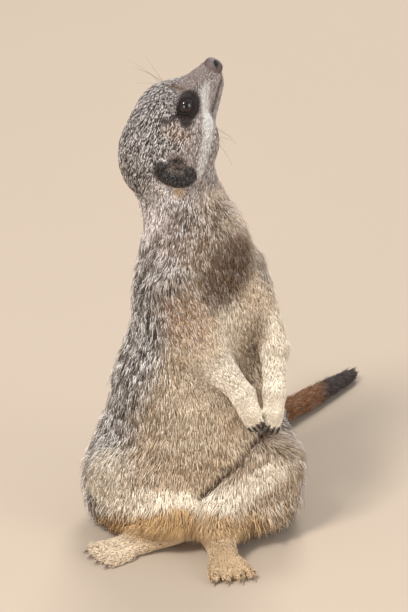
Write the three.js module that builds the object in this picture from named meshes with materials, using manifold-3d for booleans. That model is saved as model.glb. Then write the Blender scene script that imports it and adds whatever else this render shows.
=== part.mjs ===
// A meerkat sitting upright on its haunches, life size, its head turned to its left and raised.
// Millimetres, +Z up. The hips face -Y, +X is the animal's left, and it rests on the floor at Z = 0.
// The body is one smooth field, given by named masses and limbs. Each node is that field's surface
// inside its own cutting planes, with a thin gap to its neighbours. Claws, eyes and ears are set
// into pockets of the nodes that carry them.
import * as THREE from "three";
import { mergeVertices } from "three/addons/utils/BufferGeometryUtils.js";
import Module from "manifold-3d";

const wasm = await Module();
wasm.setup();

// ---- driving dimensions -------------------------------------------------------------------

const GAP = 0.36; // between neighbouring nodes
const NUDGE = 0.02; // how far apart a field is read to find its slope
const SLIVER = 0.12; // detail smaller than this is smoothed away once the cuts are made

// How far each region is turned to the animal's left, in degrees.
const YAW = { hips: 8, belly: 18, chest: 40, head: 100 };
const HEAD_PITCH = 67; // the nose above the horizon, in degrees
const HEAD_CENTRE = at(-16, 4, 232);

const EYE = { radius: 5.3, ahead: 24, above: 0.8, aside: 12.8 };
// room is how many gaps wide the ear's pocket is, as facets of two sizes don't nest.
const EAR = { ahead: -11.5, above: -6, aside: 22.5, long: 11.6, deep: 8, thick: 3.4 };
const EAR_SET = { flare: -24, tilt: 6, room: 2.5 };

// From the rump along the floor to the tip.
const TAIL = new THREE.CatmullRomCurve3([at(-4, 42, 16), at(21, 98, 10.4), at(65, 161, 7), at(96, 207, 4.8)]);
const TAIL_RADII = [17, 11, 7.6, 5.4];

// Arms: shoulder, elbow, wrist and knuckles, and the ways that the fingers point, that the hand is
// wide, and that the limb stands out from the body.
const ARMS = {
  right: {
    joints: [at(-8, -22, 158), at(6, -31, 119), at(26, -37, 97), at(30, -40, 88)],
    radii: [15, 11.6, 7.2, 5.8],
    fingers: at(0.34, -0.2, -0.92),
    across: at(0.86, -0.3, 0.42),
    outward: at(0.1, -0.99, 0.1),
  },
  left: {
    joints: [at(27.5, 3, 158), at(44.5, -16, 117), at(43.8, -30, 95), at(43.6, -34, 85)],
    radii: [12.5, 8.6, 6.8, 5.6],
    fingers: at(-0.14, -0.3, -0.93),
    across: at(0.9, 0.25, -0.33),
    outward: at(0.62, -0.72, 0.3),
  },
};
// Legs, folded: hip, knee and ankle, then the heel, the ball of the foot and the haunch.
const LEGS = {
  right: {
    joints: [at(-24, 14, 38), at(-42, -12, 40), at(-12, -28, 14)],
    heel: at(-6, -20, 8),
    ball: at(-43, -41, 4.5),
    haunch: at(-38, 5, 26),
  },
  left: {
    joints: [at(24, 14, 38), at(43, -12, 44), at(12, -30, 15)],
    heel: at(9, -22, 8),
    ball: at(18.5, -62.5, 4.5),
    haunch: at(36, 0, 27),
  },
};
const LEG_RADII = [26, 17, 9.5];
const HAUNCH_RADII = at(24, 30, 30);
const FINGERS = { spread: 0.06, length: 7.5, radius: 2.2, pitch: 2.7 };
const TOES = { spread: 0.24, length: 11, radius: 3.1, pitch: 5.4 };
const FORE_CLAW = { length: 10.5, radius: 1.1, bend: 80, rooted: 2.5 };
const HIND_CLAW = { length: 7.5, radius: 1.3, bend: 34, rooted: 2.5 };

// ---- fields: each is a function of a point, negative inside the shape ----------------------

function at(x, y, z) {
  return new THREE.Vector3(x, y, z);
}

// A mass of flesh: an ellipsoid of three radii, turned.
function mass(centre, radii, turn = new THREE.Quaternion()) {
  const back = turn.clone().invert();
  const scaled = at(0, 0, 0);
  const steep = at(0, 0, 0);
  return (p) => {
    scaled.copy(p).sub(centre).applyQuaternion(back).divide(radii);
    steep.copy(scaled).divide(radii);
    const reach = scaled.length();
    return (reach * (reach - 1)) / Math.max(steep.length(), 1e-6);
  };
}

// A length of limb: a tapered rod with round ends, which can be thinner in one direction.
function limb(a, b, ra, rb, thin = null, by = 1) {
  const axis = b.clone().sub(a);
  const square = axis.lengthSq();
  const off = at(0, 0, 0);
  return (p) => {
    off.copy(p).sub(a);
    const along = THREE.MathUtils.clamp(off.dot(axis) / square, 0, 1);
    off.addScaledVector(axis, -along);
    if (thin) off.addScaledVector(thin, off.dot(thin) * (by - 1));
    return off.length() - THREE.MathUtils.lerp(ra, rb, along);
  };
}

function chain(joints, radii) {
  return blend(2, ...joints.slice(1).map((end, i) => limb(joints[i], end, radii[i], radii[i + 1])));
}

// Joins fields, with a fillet about as wide as reach.
function blend(reach, ...fields) {
  return (p) =>
    fields.reduce((best, field) => {
      const next = field(p);
      const near = Math.max(reach - Math.abs(best - next), 0) / reach;
      return Math.min(best, next) - (near * near * reach) / 4;
    }, Infinity);
}

// Takes the second field out of the first, with a soft edge.
function carve(reach, field, hole) {
  const filled = blend(reach, (p) => -field(p), hole);
  return (p) => -filled(p);
}

// A turn to the animal's left, then with the nose up.
function turned(yaw, pitch = 0) {
  const radians = THREE.MathUtils.degToRad;
  return new THREE.Quaternion().setFromEuler(new THREE.Euler(-radians(pitch), 0, radians(yaw), "ZXY"));
}

// ---- the head, in its own frame: ahead towards the nose, above towards the crown -----------

const HEAD_TURN = turned(YAW.head, HEAD_PITCH);
const SIDEWAYS = at(1, 0, 0).applyQuaternion(HEAD_TURN);
const AHEAD = at(0, -1, 0).applyQuaternion(HEAD_TURN);

function onHead(aside, ahead, above) {
  return at(aside, -ahead, above).applyQuaternion(HEAD_TURN).add(HEAD_CENTRE);
}

function headMass(aside, ahead, above, wide, long, high) {
  return mass(onHead(aside, ahead, above), at(wide, long, high), HEAD_TURN);
}

function headField() {
  const cranium = headMass(0, -6, -2, 23.5, 30, 25.6);
  const forehead = headMass(0, 12, 3, 18.5, 20, 19);
  const muzzle = limb(onHead(0, 28, -5.5), onHead(0, 43.5, -8.4), 13, 5.2, SIDEWAYS, 1.2);
  const nose = headMass(0, 47, -9, 3.9, 3.9, 4.6);
  const jaw = limb(onHead(0, 6, -14.5), onHead(0, 38, -13.6), 10.5, 3.6, SIDEWAYS, 1.1);
  const cheeks = [-1, 1].map((side) => headMass(side * 12.5, 3, -12, 11, 19, 15));
  const brows = [-1, 1].map((side) => headMass(side * 10.5, 20, 4.5, 6, 7.5, 6));
  const sockets = [-1, 1].map((side) =>
    headMass(side * (EYE.aside + 5.2), EYE.ahead + 1.5, EYE.above, 5.2, 8.5, 7),
  );
  const skull = blend(7, cranium, forehead, blend(5, muzzle, jaw), ...cheeks);
  return carve(4, blend(4, blend(3, skull, nose), ...brows), blend(1, ...sockets));
}

// One ear: a low cup, longest from above to below, its rear edge standing out from the head.
function earField(side) {
  const middle = onHead(side * EAR.aside, EAR.ahead, EAR.above);
  const lean = HEAD_TURN.clone().multiply(turned(side * EAR_SET.flare, EAR_SET.tilt));
  const hollow = at(side * EAR.thick * 1.15, -1.4, 0).applyQuaternion(lean).add(middle);
  const shell = mass(middle, at(EAR.thick, EAR.deep, EAR.long), lean);
  return carve(1.2, shell, mass(hollow, at(EAR.thick, EAR.deep - 2.4, EAR.long - 2.8), lean));
}

// ---- trunk, limbs and tail ------------------------------------------------------------------

function trunkField() {
  const hips = mass(at(-1, 16, 44), at(54, 40, 48), turned(YAW.hips));
  const seat = mass(at(0, 13, 17), at(57, 37, 23), turned(YAW.hips));
  const belly = mass(at(-1, 4, 84), at(48, 37, 53), turned(YAW.belly));
  const ribs = mass(at(-1, 3, 140), at(34, 36, 46), turned(YAW.chest));
  const breast = mass(at(6, -2, 166), at(25, 24, 26), turned(YAW.chest));
  const neck = limb(at(-2, 5, 178), onHead(0, -14, -10), 26, 22);
  return blend(14, blend(18, blend(14, hips, seat), belly), blend(12, ribs, breast), neck);
}

// The toes of a paw: one short rod each, spread like a fan about the way the paw points.
function toesAt(root, along, across, { spread, length, radius, pitch }) {
  return [-1, -1 / 3, 1 / 3, 1].map((place) => {
    const start = root.clone().addScaledVector(across, place * 1.5 * pitch);
    const way = along.clone().addScaledVector(across, place * spread).normalize();
    const reach = length * (1 - 0.14 * place * place);
    return { start, end: start.clone().addScaledVector(way, reach), way, radius };
  });
}

function toesField(toes) {
  return blend(1.2, ...toes.map(({ start, end, radius }) => limb(start, end, radius, radius * 0.8)));
}

function fingersOf({ joints, fingers, across }) {
  return toesAt(joints[3], fingers.clone().normalize(), across.clone().normalize(), FINGERS);
}

// A foot's own directions on the floor: along it to the toes, and across it.
function footAxes({ heel, ball }) {
  const along = ball.clone().sub(heel).setZ(0).normalize();
  return { along, across: at(0, 0, 1).cross(along) };
}

function toesOf(leg) {
  const { along, across } = footAxes(leg);
  return toesAt(leg.ball.clone().setZ(3), along, across, TOES);
}

function armField(arm) {
  return blend(2.5, chain(arm.joints, arm.radii), toesField(fingersOf(arm)));
}

function legField(leg) {
  const { joints, heel, ball, haunch } = leg;
  const upper = blend(9, chain(joints, LEG_RADII), mass(haunch, HAUNCH_RADII));
  const instep = limb(joints[2], ball, 8, 5.2);
  const sole = limb(heel.clone().setZ(6), ball.clone().setZ(3.4), 7.4, 7, at(0, 0, 1), 1.7);
  return blend(5, upper, blend(5, instep, sole, toesField(toesOf(leg))));
}

function tailField() {
  const steps = 12;
  const radii = Array.from({ length: steps + 1 }, (_, i) => {
    const along = (i / steps) * (TAIL_RADII.length - 1);
    const before = Math.min(Math.floor(along), TAIL_RADII.length - 2);
    return THREE.MathUtils.lerp(TAIL_RADII[before], TAIL_RADII[before + 1], along - before);
  });
  return chain(TAIL.getPoints(steps), radii);
}

function bodyField() {
  const rear = blend(10, legField(LEGS.right), tailField());
  const torso = blend(8, trunkField(), headField(), rear, legField(LEGS.left));
  return blend(3, torso, blend(0.8, armField(ARMS.right), armField(ARMS.left)));
}

// ---- from fields to closed meshes -----------------------------------------------------------

// Moves a point near a field's surface onto it, by no more than a limit.
function settle(field, point, limit) {
  const start = point.clone();
  const slope = at(0, 0, 0);
  for (let round = 0; round < 3; round++) {
    const here = field(point);
    for (const axis of ["x", "y", "z"]) {
      point[axis] += NUDGE;
      slope[axis] = (field(point) - here) / NUDGE;
      point[axis] -= NUDGE;
    }
    point.addScaledVector(slope, -here / Math.max(slope.lengthSq(), 0.1));
  }
  if (point.distanceTo(start) > limit) point.copy(start);
}

const CELL_CORNERS = Array.from({ length: 8 }, (_, n) => [n & 1, (n >> 1) & 1, n >> 2]);
const CELL_EDGES = CELL_CORNERS.flatMap((a, m) =>
  CELL_CORNERS.filter((b, n) => n > m && [1, 2, 4].includes(m ^ n)).map((b) => [a, b]),
);
const CELL_WAYS = [at(1, 0, 0), at(0, 1, 0), at(0, 0, 1)];

// The surface of a field inside a box: one vertex in each cell of a grid that it crosses, and a
// quad round each edge of the grid that it crosses.
function surfaceOf(field, box, step) {
  const [nx, ny, nz] = box.getSize(at(0, 0, 0)).divideScalar(step).ceil().addScalar(1).toArray();
  const place = (i, j, k) => at(i, j, k).multiplyScalar(step).add(box.min);
  const index = (i, j, k) => (k * ny + j) * nx + i;
  const values = new Float32Array(nx * ny * nz).fill(step);
  for (let k = 1; k < nz - 1; k++)
    for (let j = 1; j < ny - 1; j++)
      for (let i = 1; i < nx - 1; i++) values[index(i, j, k)] = field(place(i, j, k));

  const cells = new Map();
  const vertices = [];
  const vertexOf = (i, j, k) => {
    const cell = index(i, j, k);
    if (!cells.has(cell)) {
      const crossings = [];
      for (const [a, b] of CELL_EDGES) {
        const va = values[index(i + a[0], j + a[1], k + a[2])];
        const vb = values[index(i + b[0], j + b[1], k + b[2])];
        if (va < 0 === vb < 0) continue;
        const from = place(i + a[0], j + a[1], k + a[2]);
        crossings.push(from.lerp(place(i + b[0], j + b[1], k + b[2]), va / (va - vb)));
      }
      const middle = crossings.reduce((sum, p) => sum.add(p), at(0, 0, 0)).divideScalar(crossings.length);
      settle(field, middle, step / 2);
      cells.set(cell, vertices.push(middle) - 1);
    }
    return cells.get(cell);
  };

  const faces = [];
  const addQuad = (a, b, c, d) => {
    const short = vertices[a].distanceTo(vertices[c]) < vertices[b].distanceTo(vertices[d]);
    faces.push(...(short ? [a, b, c, a, c, d] : [b, c, d, b, d, a]));
  };
  const addFaceAcross = (i, j, k, n) => {
    const way = CELL_WAYS[n];
    const inside = values[index(i, j, k)] < 0;
    if (inside === values[index(i + way.x, j + way.y, k + way.z)] < 0) return;
    const [u, v] = [CELL_WAYS[(n + 1) % 3], CELL_WAYS[(n + 2) % 3]];
    const quad = [[0, 0], [1, 0], [1, 1], [0, 1]].map(([a, b]) =>
      vertexOf(i - a * u.x - b * v.x, j - a * u.y - b * v.y, k - a * u.z - b * v.z),
    );
    addQuad(...(inside ? quad : quad.reverse()));
  };
  for (let k = 0; k < nz - 1; k++)
    for (let j = 0; j < ny - 1; j++)
      for (let i = 0; i < nx - 1; i++) for (let n = 0; n < 3; n++) addFaceAcross(i, j, k, n);
  return new THREE.BufferGeometry().setFromPoints(vertices).setIndex(faces);
}

// A closed geometry as a solid that can be cut and joined.
function solidOf(geometry) {
  const bare = new THREE.BufferGeometry().setAttribute("position", geometry.getAttribute("position"));
  if (geometry.index) bare.setIndex(geometry.index);
  const { attributes, index } = mergeVertices(bare, 1e-4);
  const faces = { vertProperties: attributes.position.array, triVerts: new Uint32Array(index.array) };
  return new wasm.Manifold(new wasm.Mesh({ numProp: 3, ...faces }));
}

function geometryOf(solid) {
  const { vertProperties, triVerts } = solid.getMesh();
  return new THREE.BufferGeometry()
    .setAttribute("position", new THREE.BufferAttribute(new Float32Array(vertProperties), 3))
    .setIndex(new THREE.BufferAttribute(new Uint32Array(triVerts), 1));
}

// A claw: a cone bent towards the palm, its thick end set inside the toe.
function clawGeometry({ end, way, radius: toe }, palm, { length, radius, bend, rooted }, grown) {
  const arc = THREE.MathUtils.degToRad(bend);
  const reach = length / arc;
  const side = way.clone().cross(palm).normalize();
  const down = side.clone().cross(way).normalize();
  const root = end.clone().addScaledVector(way, toe * 0.8 - rooted - grown);
  const cone = new THREE.CylinderGeometry(radius * 0.2 + grown, radius + grown, 1, 5, 2);
  const corner = at(0, 0, 0);
  const corners = cone.getAttribute("position");
  for (let i = 0; i < corners.count; i++) {
    const { x, y, z } = corner.fromBufferAttribute(corners, i);
    const turn = arc * (y + 0.5);
    corner.copy(root).addScaledVector(side, x);
    corner.addScaledVector(way, (reach - z) * Math.sin(turn));
    corner.addScaledVector(down, reach - (reach - z) * Math.cos(turn));
    corners.setXYZ(i, ...corner.toArray());
  }
  return cone;
}

// ---- where the body is cut into nodes ---------------------------------------------------------

// A half-space: what lies beyond a point in a direction.
function beyond(point, direction) {
  const normal = direction.clone().normalize();
  return { normal, offset: normal.dot(point) };
}

function behind(point, direction) {
  return beyond(point, direction.clone().negate());
}

const above = (height) => beyond(at(0, 0, height), at(0, 0, 1));
const below = (height) => behind(at(0, 0, height), at(0, 0, 1));

// The space round one length of a limb: no wider than the limb, and no deeper than it stands out.
function sleeve(start, end, outward, wide, deep) {
  const across = outward.clone().cross(end.clone().sub(start)).normalize();
  return [
    behind(start.clone().addScaledVector(across, wide), across),
    beyond(start.clone().addScaledVector(across, -wide), across),
    beyond(start.clone().addScaledVector(outward.clone().normalize(), -deep), outward),
  ];
}

// The plane that halves the bend at a joint, as a point and the way down the limb.
function bendAt(before, joint, after) {
  const way = after.clone().sub(joint).normalize().add(joint.clone().sub(before).normalize());
  return [joint, way];
}

function armRegions({ joints, outward }, ownSide) {
  const [shoulder, elbow, wrist, knuckles] = joints;
  const atElbow = bendAt(shoulder, elbow, wrist);
  const atWrist = bendAt(elbow, wrist, knuckles);
  const top = shoulder.clone().lerp(elbow, -0.2);
  return {
    hand: [...sleeve(wrist, knuckles, outward, 12, 9), ownSide, beyond(...atWrist)],
    forearm: [...sleeve(elbow, wrist, outward, 14, 8), ownSide, beyond(...atElbow), behind(...atWrist)],
    upperArm: [...sleeve(shoulder, elbow, outward, 17, 4), beyond(top, atElbow[1]), behind(...atElbow)],
  };
}

function legRegions(leg, side) {
  const [hip, knee, ankle] = leg.joints;
  const { along, across } = footAxes(leg);
  const outer = at(side, 0, 0);
  const fold = ankle.clone().sub(knee).normalize().sub(hip.clone().sub(knee).normalize());
  return {
    foot: [
      behind(leg.heel.clone().addScaledVector(across, 15), across),
      beyond(leg.heel.clone().addScaledVector(across, -15), across),
      beyond(leg.heel.clone().addScaledVector(along, -9), along),
      below(14),
    ],
    shank: [...sleeve(knee, ankle, fold, 17, 1), beyond(outer.clone().multiplyScalar(1.5), outer)],
    thigh: [beyond(outer.clone().multiplyScalar(21), at(side, 0, 0.12)), below(68)],
  };
}

function tailPast(share) {
  return beyond(TAIL.getPointAt(share), TAIL.getTangentAt(share));
}

const HANDS_MEET = ARMS.right.joints[3].clone().lerp(ARMS.left.joints[3], 0.5);
const ACROSS_HANDS = ARMS.left.joints[2].clone().sub(ARMS.right.joints[2]);
const REGIONS = {
  arm_right: armRegions(ARMS.right, behind(HANDS_MEET, ACROSS_HANDS)),
  arm_left: armRegions(ARMS.left, beyond(HANDS_MEET, ACROSS_HANDS)),
  leg_right: legRegions(LEGS.right, -1),
  leg_left: legRegions(LEGS.left, 1),
};

const COATS = {
  grizzled: { color: 0x94887c, roughness: 0.95 },
  sandy: { color: 0xb09a7c, roughness: 0.95 },
  pale: { color: 0xcdb694, roughness: 0.95 },
  dark: { color: 0x47392f, roughness: 0.95 },
  skin: { color: 0x3d322f, roughness: 0.6 },
  horn: { color: 0x2e2825, roughness: 0.4 },
  eye: { color: 0x150f0d, roughness: 0.08 },
};

function armNodes(side) {
  const { hand, forearm, upperArm } = REGIONS[`arm_${side}`];
  return {
    [`hand_${side}`]: { step: 3.4, coat: "pale", planes: hand },
    [`forearm_${side}`]: { step: 6, coat: "pale", planes: forearm },
    [`upper_arm_${side}`]: { step: 7.8, coat: "sandy", planes: upperArm },
  };
}

function legNodes(side) {
  const { foot, shank, thigh } = REGIONS[`leg_${side}`];
  return {
    [`foot_${side}`]: { step: 4.4, coat: "pale", planes: foot },
    [`shank_${side}`]: { step: 8.4, coat: "pale", planes: shank },
    [`thigh_${side}`]: { step: 10.8, coat: "sandy", planes: thigh },
  };
}

// The nodes of the body by group, each with the half-spaces that bound it and the size of its
// facets. A node gives way to all those before it.
const BODY_NODES = {
  head: {
    nose: { step: 2.2, coat: "skin", planes: [beyond(onHead(0, 45.5, -8.6), AHEAD)] },
    head: { step: 6.5, coat: "grizzled", planes: [beyond(at(-14, 4, 204), at(-0.12, 0.06, 1))] },
  },
  arm_right: armNodes("right"),
  arm_left: armNodes("left"),
  tail: {
    tail_tip: { step: 5.1, coat: "dark", planes: [below(34), tailPast(0.72)] },
    tail_middle: { step: 7.8, coat: "sandy", planes: [below(34), tailPast(0.42)] },
    tail_root: { step: 9.6, coat: "sandy", planes: [below(34), beyond(at(0, 50, 0), at(0.3, 1, 0))] },
  },
  leg_right: legNodes("right"),
  leg_left: legNodes("left"),
  trunk: {
    neck: { step: 7.5, coat: "grizzled", planes: [beyond(at(0, 0, 176), at(0.3, 0, 1))] },
    chest: { step: 10.6, coat: "grizzled", planes: [above(122)] },
    belly: { step: 12, coat: "sandy", planes: [above(69)] },
    rump: { step: 12, coat: "sandy", planes: [] },
  },
};

// ---- what is set into a node: a name, a coat, and its solid for how much it is grown ----------

function eyeAndEar(name, side) {
  const eyeAt = onHead(side * EYE.aside, EYE.ahead, EYE.above);
  const earAt = onHead(side * EAR.aside, EAR.ahead, EAR.above);
  const space = new THREE.Box3().setFromCenterAndSize(earAt, at(34, 34, 34));
  const ear = earField(side);
  const eyeball = (grown) => new THREE.SphereGeometry(EYE.radius + grown, 10, 7);
  return [
    [`eye_${name}`, "eye", (grown) => solidOf(eyeball(grown).translate(...eyeAt.toArray()))],
    [`ear_${name}`, "dark", (grown) => solidOf(surfaceOf((p) => ear(p) - EAR_SET.room * grown, space, 3))],
  ];
}

function clawsOn(host, toes, palm, claw) {
  return toes.map((toe, i) => {
    const solidAt = (grown) => solidOf(clawGeometry(toe, palm, claw, grown));
    return [`claw_${host}_${i + 1}`, "horn", solidAt];
  });
}

function handClaws(side) {
  const { across, fingers } = ARMS[side];
  return clawsOn(`hand_${side}`, fingersOf(ARMS[side]), across.clone().cross(fingers), FORE_CLAW);
}

function footClaws(side) {
  return clawsOn(`foot_${side}`, toesOf(LEGS[side]), at(0, 0, -1), HIND_CLAW);
}

const INSETS = {
  head: [...eyeAndEar("right", -1), ...eyeAndEar("left", 1)],
  hand_right: handClaws("right"),
  hand_left: handClaws("left"),
  foot_right: footClaws("right"),
  foot_left: footClaws("left"),
};

// ---- the scene graph ----------------------------------------------------------------------------

const WORLD = new THREE.Box3(at(-80, -105, -12), at(125, 250, 305));

// A named mesh of a solid, its own centre at its place in the group.
function addNode(group, name, coat, solid) {
  const geometry = geometryOf(solid);
  geometry.computeBoundingBox();
  const middle = geometry.boundingBox.getCenter(at(0, 0, 0)).round();
  geometry.translate(-middle.x, -middle.y, -middle.z);
  const node = new THREE.Mesh(geometry, new THREE.MeshStandardMaterial({ metalness: 0, ...COATS[coat] }));
  node.name = name;
  node.position.copy(middle);
  group.add(node);
}

function trimmed(solid, planes, inset) {
  const cut = (rest, { normal, offset }) => rest.trimByPlane(normal.toArray(), offset + inset);
  return planes.reduce(cut, solid);
}

// The block of space that a list of half-spaces leaves, grown a little on every side.
function blockOf(planes, grown) {
  const size = WORLD.getSize(at(0, 0, 0)).addScalar(20);
  const middle = WORLD.getCenter(at(0, 0, 0));
  const block = new THREE.BoxGeometry(...size.toArray()).translate(...middle.toArray());
  return trimmed(solidOf(block), planes, -grown);
}

// Whether four faces, not two, meet at some edge once corners that all but coincide are one.
function isPinched(solid) {
  const corners = mergeVertices(geometryOf(solid), 1e-4).index.array;
  const edges = Array.from(corners, (a, n) => {
    const b = corners[n % 3 === 2 ? n - 2 : n + 1];
    return Math.min(a, b) * corners.length + Math.max(a, b);
  });
  return new Set(edges).size < edges.length / 2;
}

// The flesh between some planes and outside some cuts, in facets of a size that is brought down
// a little until nothing is pinched.
function fleshWithin(planes, cuts, step) {
  const bounds = [above(0), ...planes];
  const { min, max } = blockOf(bounds, 0).boundingBox();
  const space = new THREE.Box3(at(...min), at(...max)).intersect(WORLD).expandByScalar(2 * step);
  const flesh = trimmed(solidOf(surfaceOf(body, space, step)), bounds, 0);
  const rest = cuts.reduce((uncut, cut) => uncut.subtract(cut), flesh);
  const [largest] = rest.decompose().sort((a, b) => b.volume() - a.volume());
  const whole = largest.simplify(SLIVER);
  return isPinched(whole) ? fleshWithin(planes, cuts, step * 0.98) : whole;
}

const body = bodyField();
const model = new THREE.Group();
model.name = "meerkat";
const taken = [];
for (const [groupName, nodes] of Object.entries(BODY_NODES)) {
  const group = new THREE.Group();
  group.name = groupName;
  model.add(group);
  for (const [name, { step, coat, planes }] of Object.entries(nodes)) {
    const insets = INSETS[name] ?? [];
    const cuts = [...taken, ...insets.map(([, , solidAt]) => solidAt(GAP))];
    addNode(group, name, coat, fleshWithin(planes, cuts, step));
    for (const [insetName, insetCoat, solidAt] of insets) addNode(group, insetName, insetCoat, solidAt(0));
    taken.push(blockOf(planes, GAP));
  }
}

export default model;
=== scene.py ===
"""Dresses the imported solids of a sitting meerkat: one skin, a coat of tufts, eyes, nose and claws."""

import logging
import math
from collections.abc import Callable, Iterable, Iterator
from contextlib import contextmanager
from dataclasses import dataclass, field, fields
from enum import Enum

import bmesh
import bpy
import numpy as np
from mathutils import Matrix, Vector
from mathutils.bvhtree import BVHTree
from mathutils.kdtree import KDTree


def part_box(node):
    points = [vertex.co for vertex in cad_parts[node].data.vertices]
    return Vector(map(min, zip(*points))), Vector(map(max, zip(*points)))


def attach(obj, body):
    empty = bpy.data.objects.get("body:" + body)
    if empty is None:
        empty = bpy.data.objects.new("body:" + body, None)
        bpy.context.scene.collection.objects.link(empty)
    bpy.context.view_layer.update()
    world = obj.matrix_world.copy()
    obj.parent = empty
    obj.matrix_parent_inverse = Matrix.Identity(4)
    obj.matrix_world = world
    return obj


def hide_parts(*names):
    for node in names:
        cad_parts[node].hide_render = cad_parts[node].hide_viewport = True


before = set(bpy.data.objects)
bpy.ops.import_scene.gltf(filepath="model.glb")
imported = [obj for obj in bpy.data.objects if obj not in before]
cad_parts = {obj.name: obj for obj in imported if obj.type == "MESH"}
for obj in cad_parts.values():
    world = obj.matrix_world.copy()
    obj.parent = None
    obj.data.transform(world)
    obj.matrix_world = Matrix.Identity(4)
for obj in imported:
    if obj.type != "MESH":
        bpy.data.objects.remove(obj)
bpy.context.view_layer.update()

LOG = logging.getLogger("meerkat")
MM = 0.001
SEED = 7
Array = np.ndarray
Field = Callable[[Array], Array]
Triple = tuple[float, float, float]

# ---- numbers on arrays of points, in millimetres ----


def vec(x: float, y: float, z: float) -> Array:
    """A point or direction as an array."""
    return np.array([x, y, z], float)


def unit(v: Array) -> Array:
    """Vectors made one long."""
    return v / np.maximum(np.linalg.norm(v, axis=-1, keepdims=True), 1e-9)


def ramp(low: float, high: float, x: Array) -> Array:
    """A smooth step from 0 at low to 1 at high, either of which may be the larger."""
    t = np.clip((x - low) / (high - low), 0, 1)
    return t * t * (3 - 2 * t)


def mixed(a: Array, b: Array, share: Array) -> Array:
    """a where share is 0 and b where it is 1.

    Args:
        a: the first values.
        b: the second values, or one colour for all.
        share: how far each goes from a to b.

    Returns:
        The mixed values.
    """
    share = np.asarray(share)
    if share.ndim == 1 and np.shape(b)[-1:] == (3,):
        share = share[:, None]
    return a * (1 - share) + b * share


def ink(red: float, green: float, blue: float) -> Array:
    """A colour given in 0 to 255 display steps, as linear light."""
    c = vec(red, green, blue) / 255
    return np.where(c <= 0.04045, c / 12.92, ((c + 0.055) / 1.055) ** 2.4)


def middle_of(node: str) -> Array:
    """The middle of a solid's box."""
    low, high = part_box(node)
    return np.array((low + high) / 2) / MM


# ---- fields: negative inside a shape ----


def mass(centre: Array, radii: Array, axes: Array | None = None) -> Field:
    """An ellipsoid of three radii along the rows of axes.

    Args:
        centre: its middle.
        radii: its radius along each of its axes.
        axes: its axes as rows, or none for those of the world.

    Returns:
        Its field.
    """
    turn = np.eye(3) if axes is None else axes

    def reach(p: Array) -> Array:
        """The field at places p: nearly the distance to the surface."""
        scaled = (p - centre) @ turn.T / radii
        k = np.linalg.norm(scaled, axis=-1)
        return k * (k - 1) / np.maximum(np.linalg.norm(scaled / radii, axis=-1), 1e-6)

    return reach


def limb(a: Array, b: Array, ra: float, rb: float, thin: Array | None = None, by: float = 1) -> Field:
    """A tapered rod with round ends, squeezed by a factor along thin.

    Args:
        a: one end.
        b: the other end.
        ra: the radius at a.
        rb: the radius at b.
        thin: the direction that it is squeezed along, if any.
        by: how many times thinner it is that way.

    Returns:
        Its field.
    """
    axis = b - a

    def reach(p: Array) -> Array:
        """The field at places p: the distance to the axis less the radius there."""
        off = p - a
        along = np.clip(off @ axis / (axis @ axis), 0, 1)
        off = off - along[..., None] * axis
        if thin is not None:
            off = off + (off @ thin)[..., None] * thin * (by - 1)
        return np.linalg.norm(off, axis=-1) - (ra + (rb - ra) * along)

    return reach


def blend(width: float, *fields: Field) -> Field:
    """Fields joined with a fillet about as wide as width.

    Args:
        width: how wide the fillet is.
        fields: the fields to join.

    Returns:
        The joined field.
    """

    def reach(p: Array) -> Array:
        """The field at places p: the least of all, and less still where two are nearly alike."""
        best = fields[0](p)
        for other in fields[1:]:
            after = other(p)
            near = np.maximum(width - np.abs(best - after), 0) / width
            best = np.minimum(best, after) - near * near * width / 4
        return best

    return reach


def carve(width: float, solid: Field, hole: Field) -> Field:
    """The first field with the second taken out, with a soft edge."""
    filled = blend(width, lambda p: -solid(p), hole)
    return lambda p: -filled(p)


def slope_of(shape: Field, points: Array) -> Array:
    """The slope of a field at each point.

    Args:
        shape: the field.
        points: places in the world.

    Returns:
        How much the field grows along each axis, for each point.
    """
    step = 0.03
    here = shape(points)
    return np.stack([(shape(points + step * way) - here) / step for way in np.eye(3)], axis=-1)


def settled(shape: Field, points: Array, depth: Array, rounds: int = 4) -> Array:
    """Points moved onto a field's surface, or to a depth inside it.

    Args:
        shape: the field.
        points: where they start.
        depth: how deep under the surface each one ends.
        rounds: how many times each is moved.

    Returns:
        The moved points.
    """
    for _ in range(rounds):
        slope = slope_of(shape, points)
        square = np.maximum((slope * slope).sum(-1), 0.2)
        points = points - ((shape(points) + depth) / square)[..., None] * slope
    return points


# ---- the animal's build ----


@dataclass(frozen=True)
class HeadFrame:
    """The head's own directions: aside to its left, ahead to the nose, above to the crown."""

    origin: Array
    axes: Array

    @classmethod
    def from_solids(cls, pitch: float = 67, ahead: float = 24, above: float = 0.8) -> "HeadFrame":
        """Finds the frame from the eyes.

        Args:
            pitch: how far the nose is above the horizon, in degrees.
            ahead: how far the eyes are in front of the head's centre.
            above: how far they are over it.

        Returns:
            The frame.
        """
        left, right = middle_of("eye_left"), middle_of("eye_right")
        aside = unit(left - right)
        up = math.radians(pitch)
        nose_way = vec(math.cos(up) * aside[1], -math.cos(up) * aside[0], math.sin(up))
        crown_way = np.cross(nose_way, aside)
        origin = (left + right) / 2 - ahead * nose_way - above * crown_way
        return cls(origin, np.stack([aside, nose_way, crown_way]))

    def place(self, aside: float, ahead: float, above: float) -> Array:
        """The place in the world of a point on the head."""
        return self.origin + vec(aside, ahead, above) @ self.axes

    def read(self, points: Array) -> Array:
        """Points as aside, ahead and above."""
        return (points - self.origin) @ self.axes.T


HEAD = HeadFrame.from_solids()
EYE_RADIUS = 5.3
SIDES = {"left": 1, "right": -1}
EYES = {side: middle_of(f"eye_{name}") for name, side in SIDES.items()}


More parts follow.
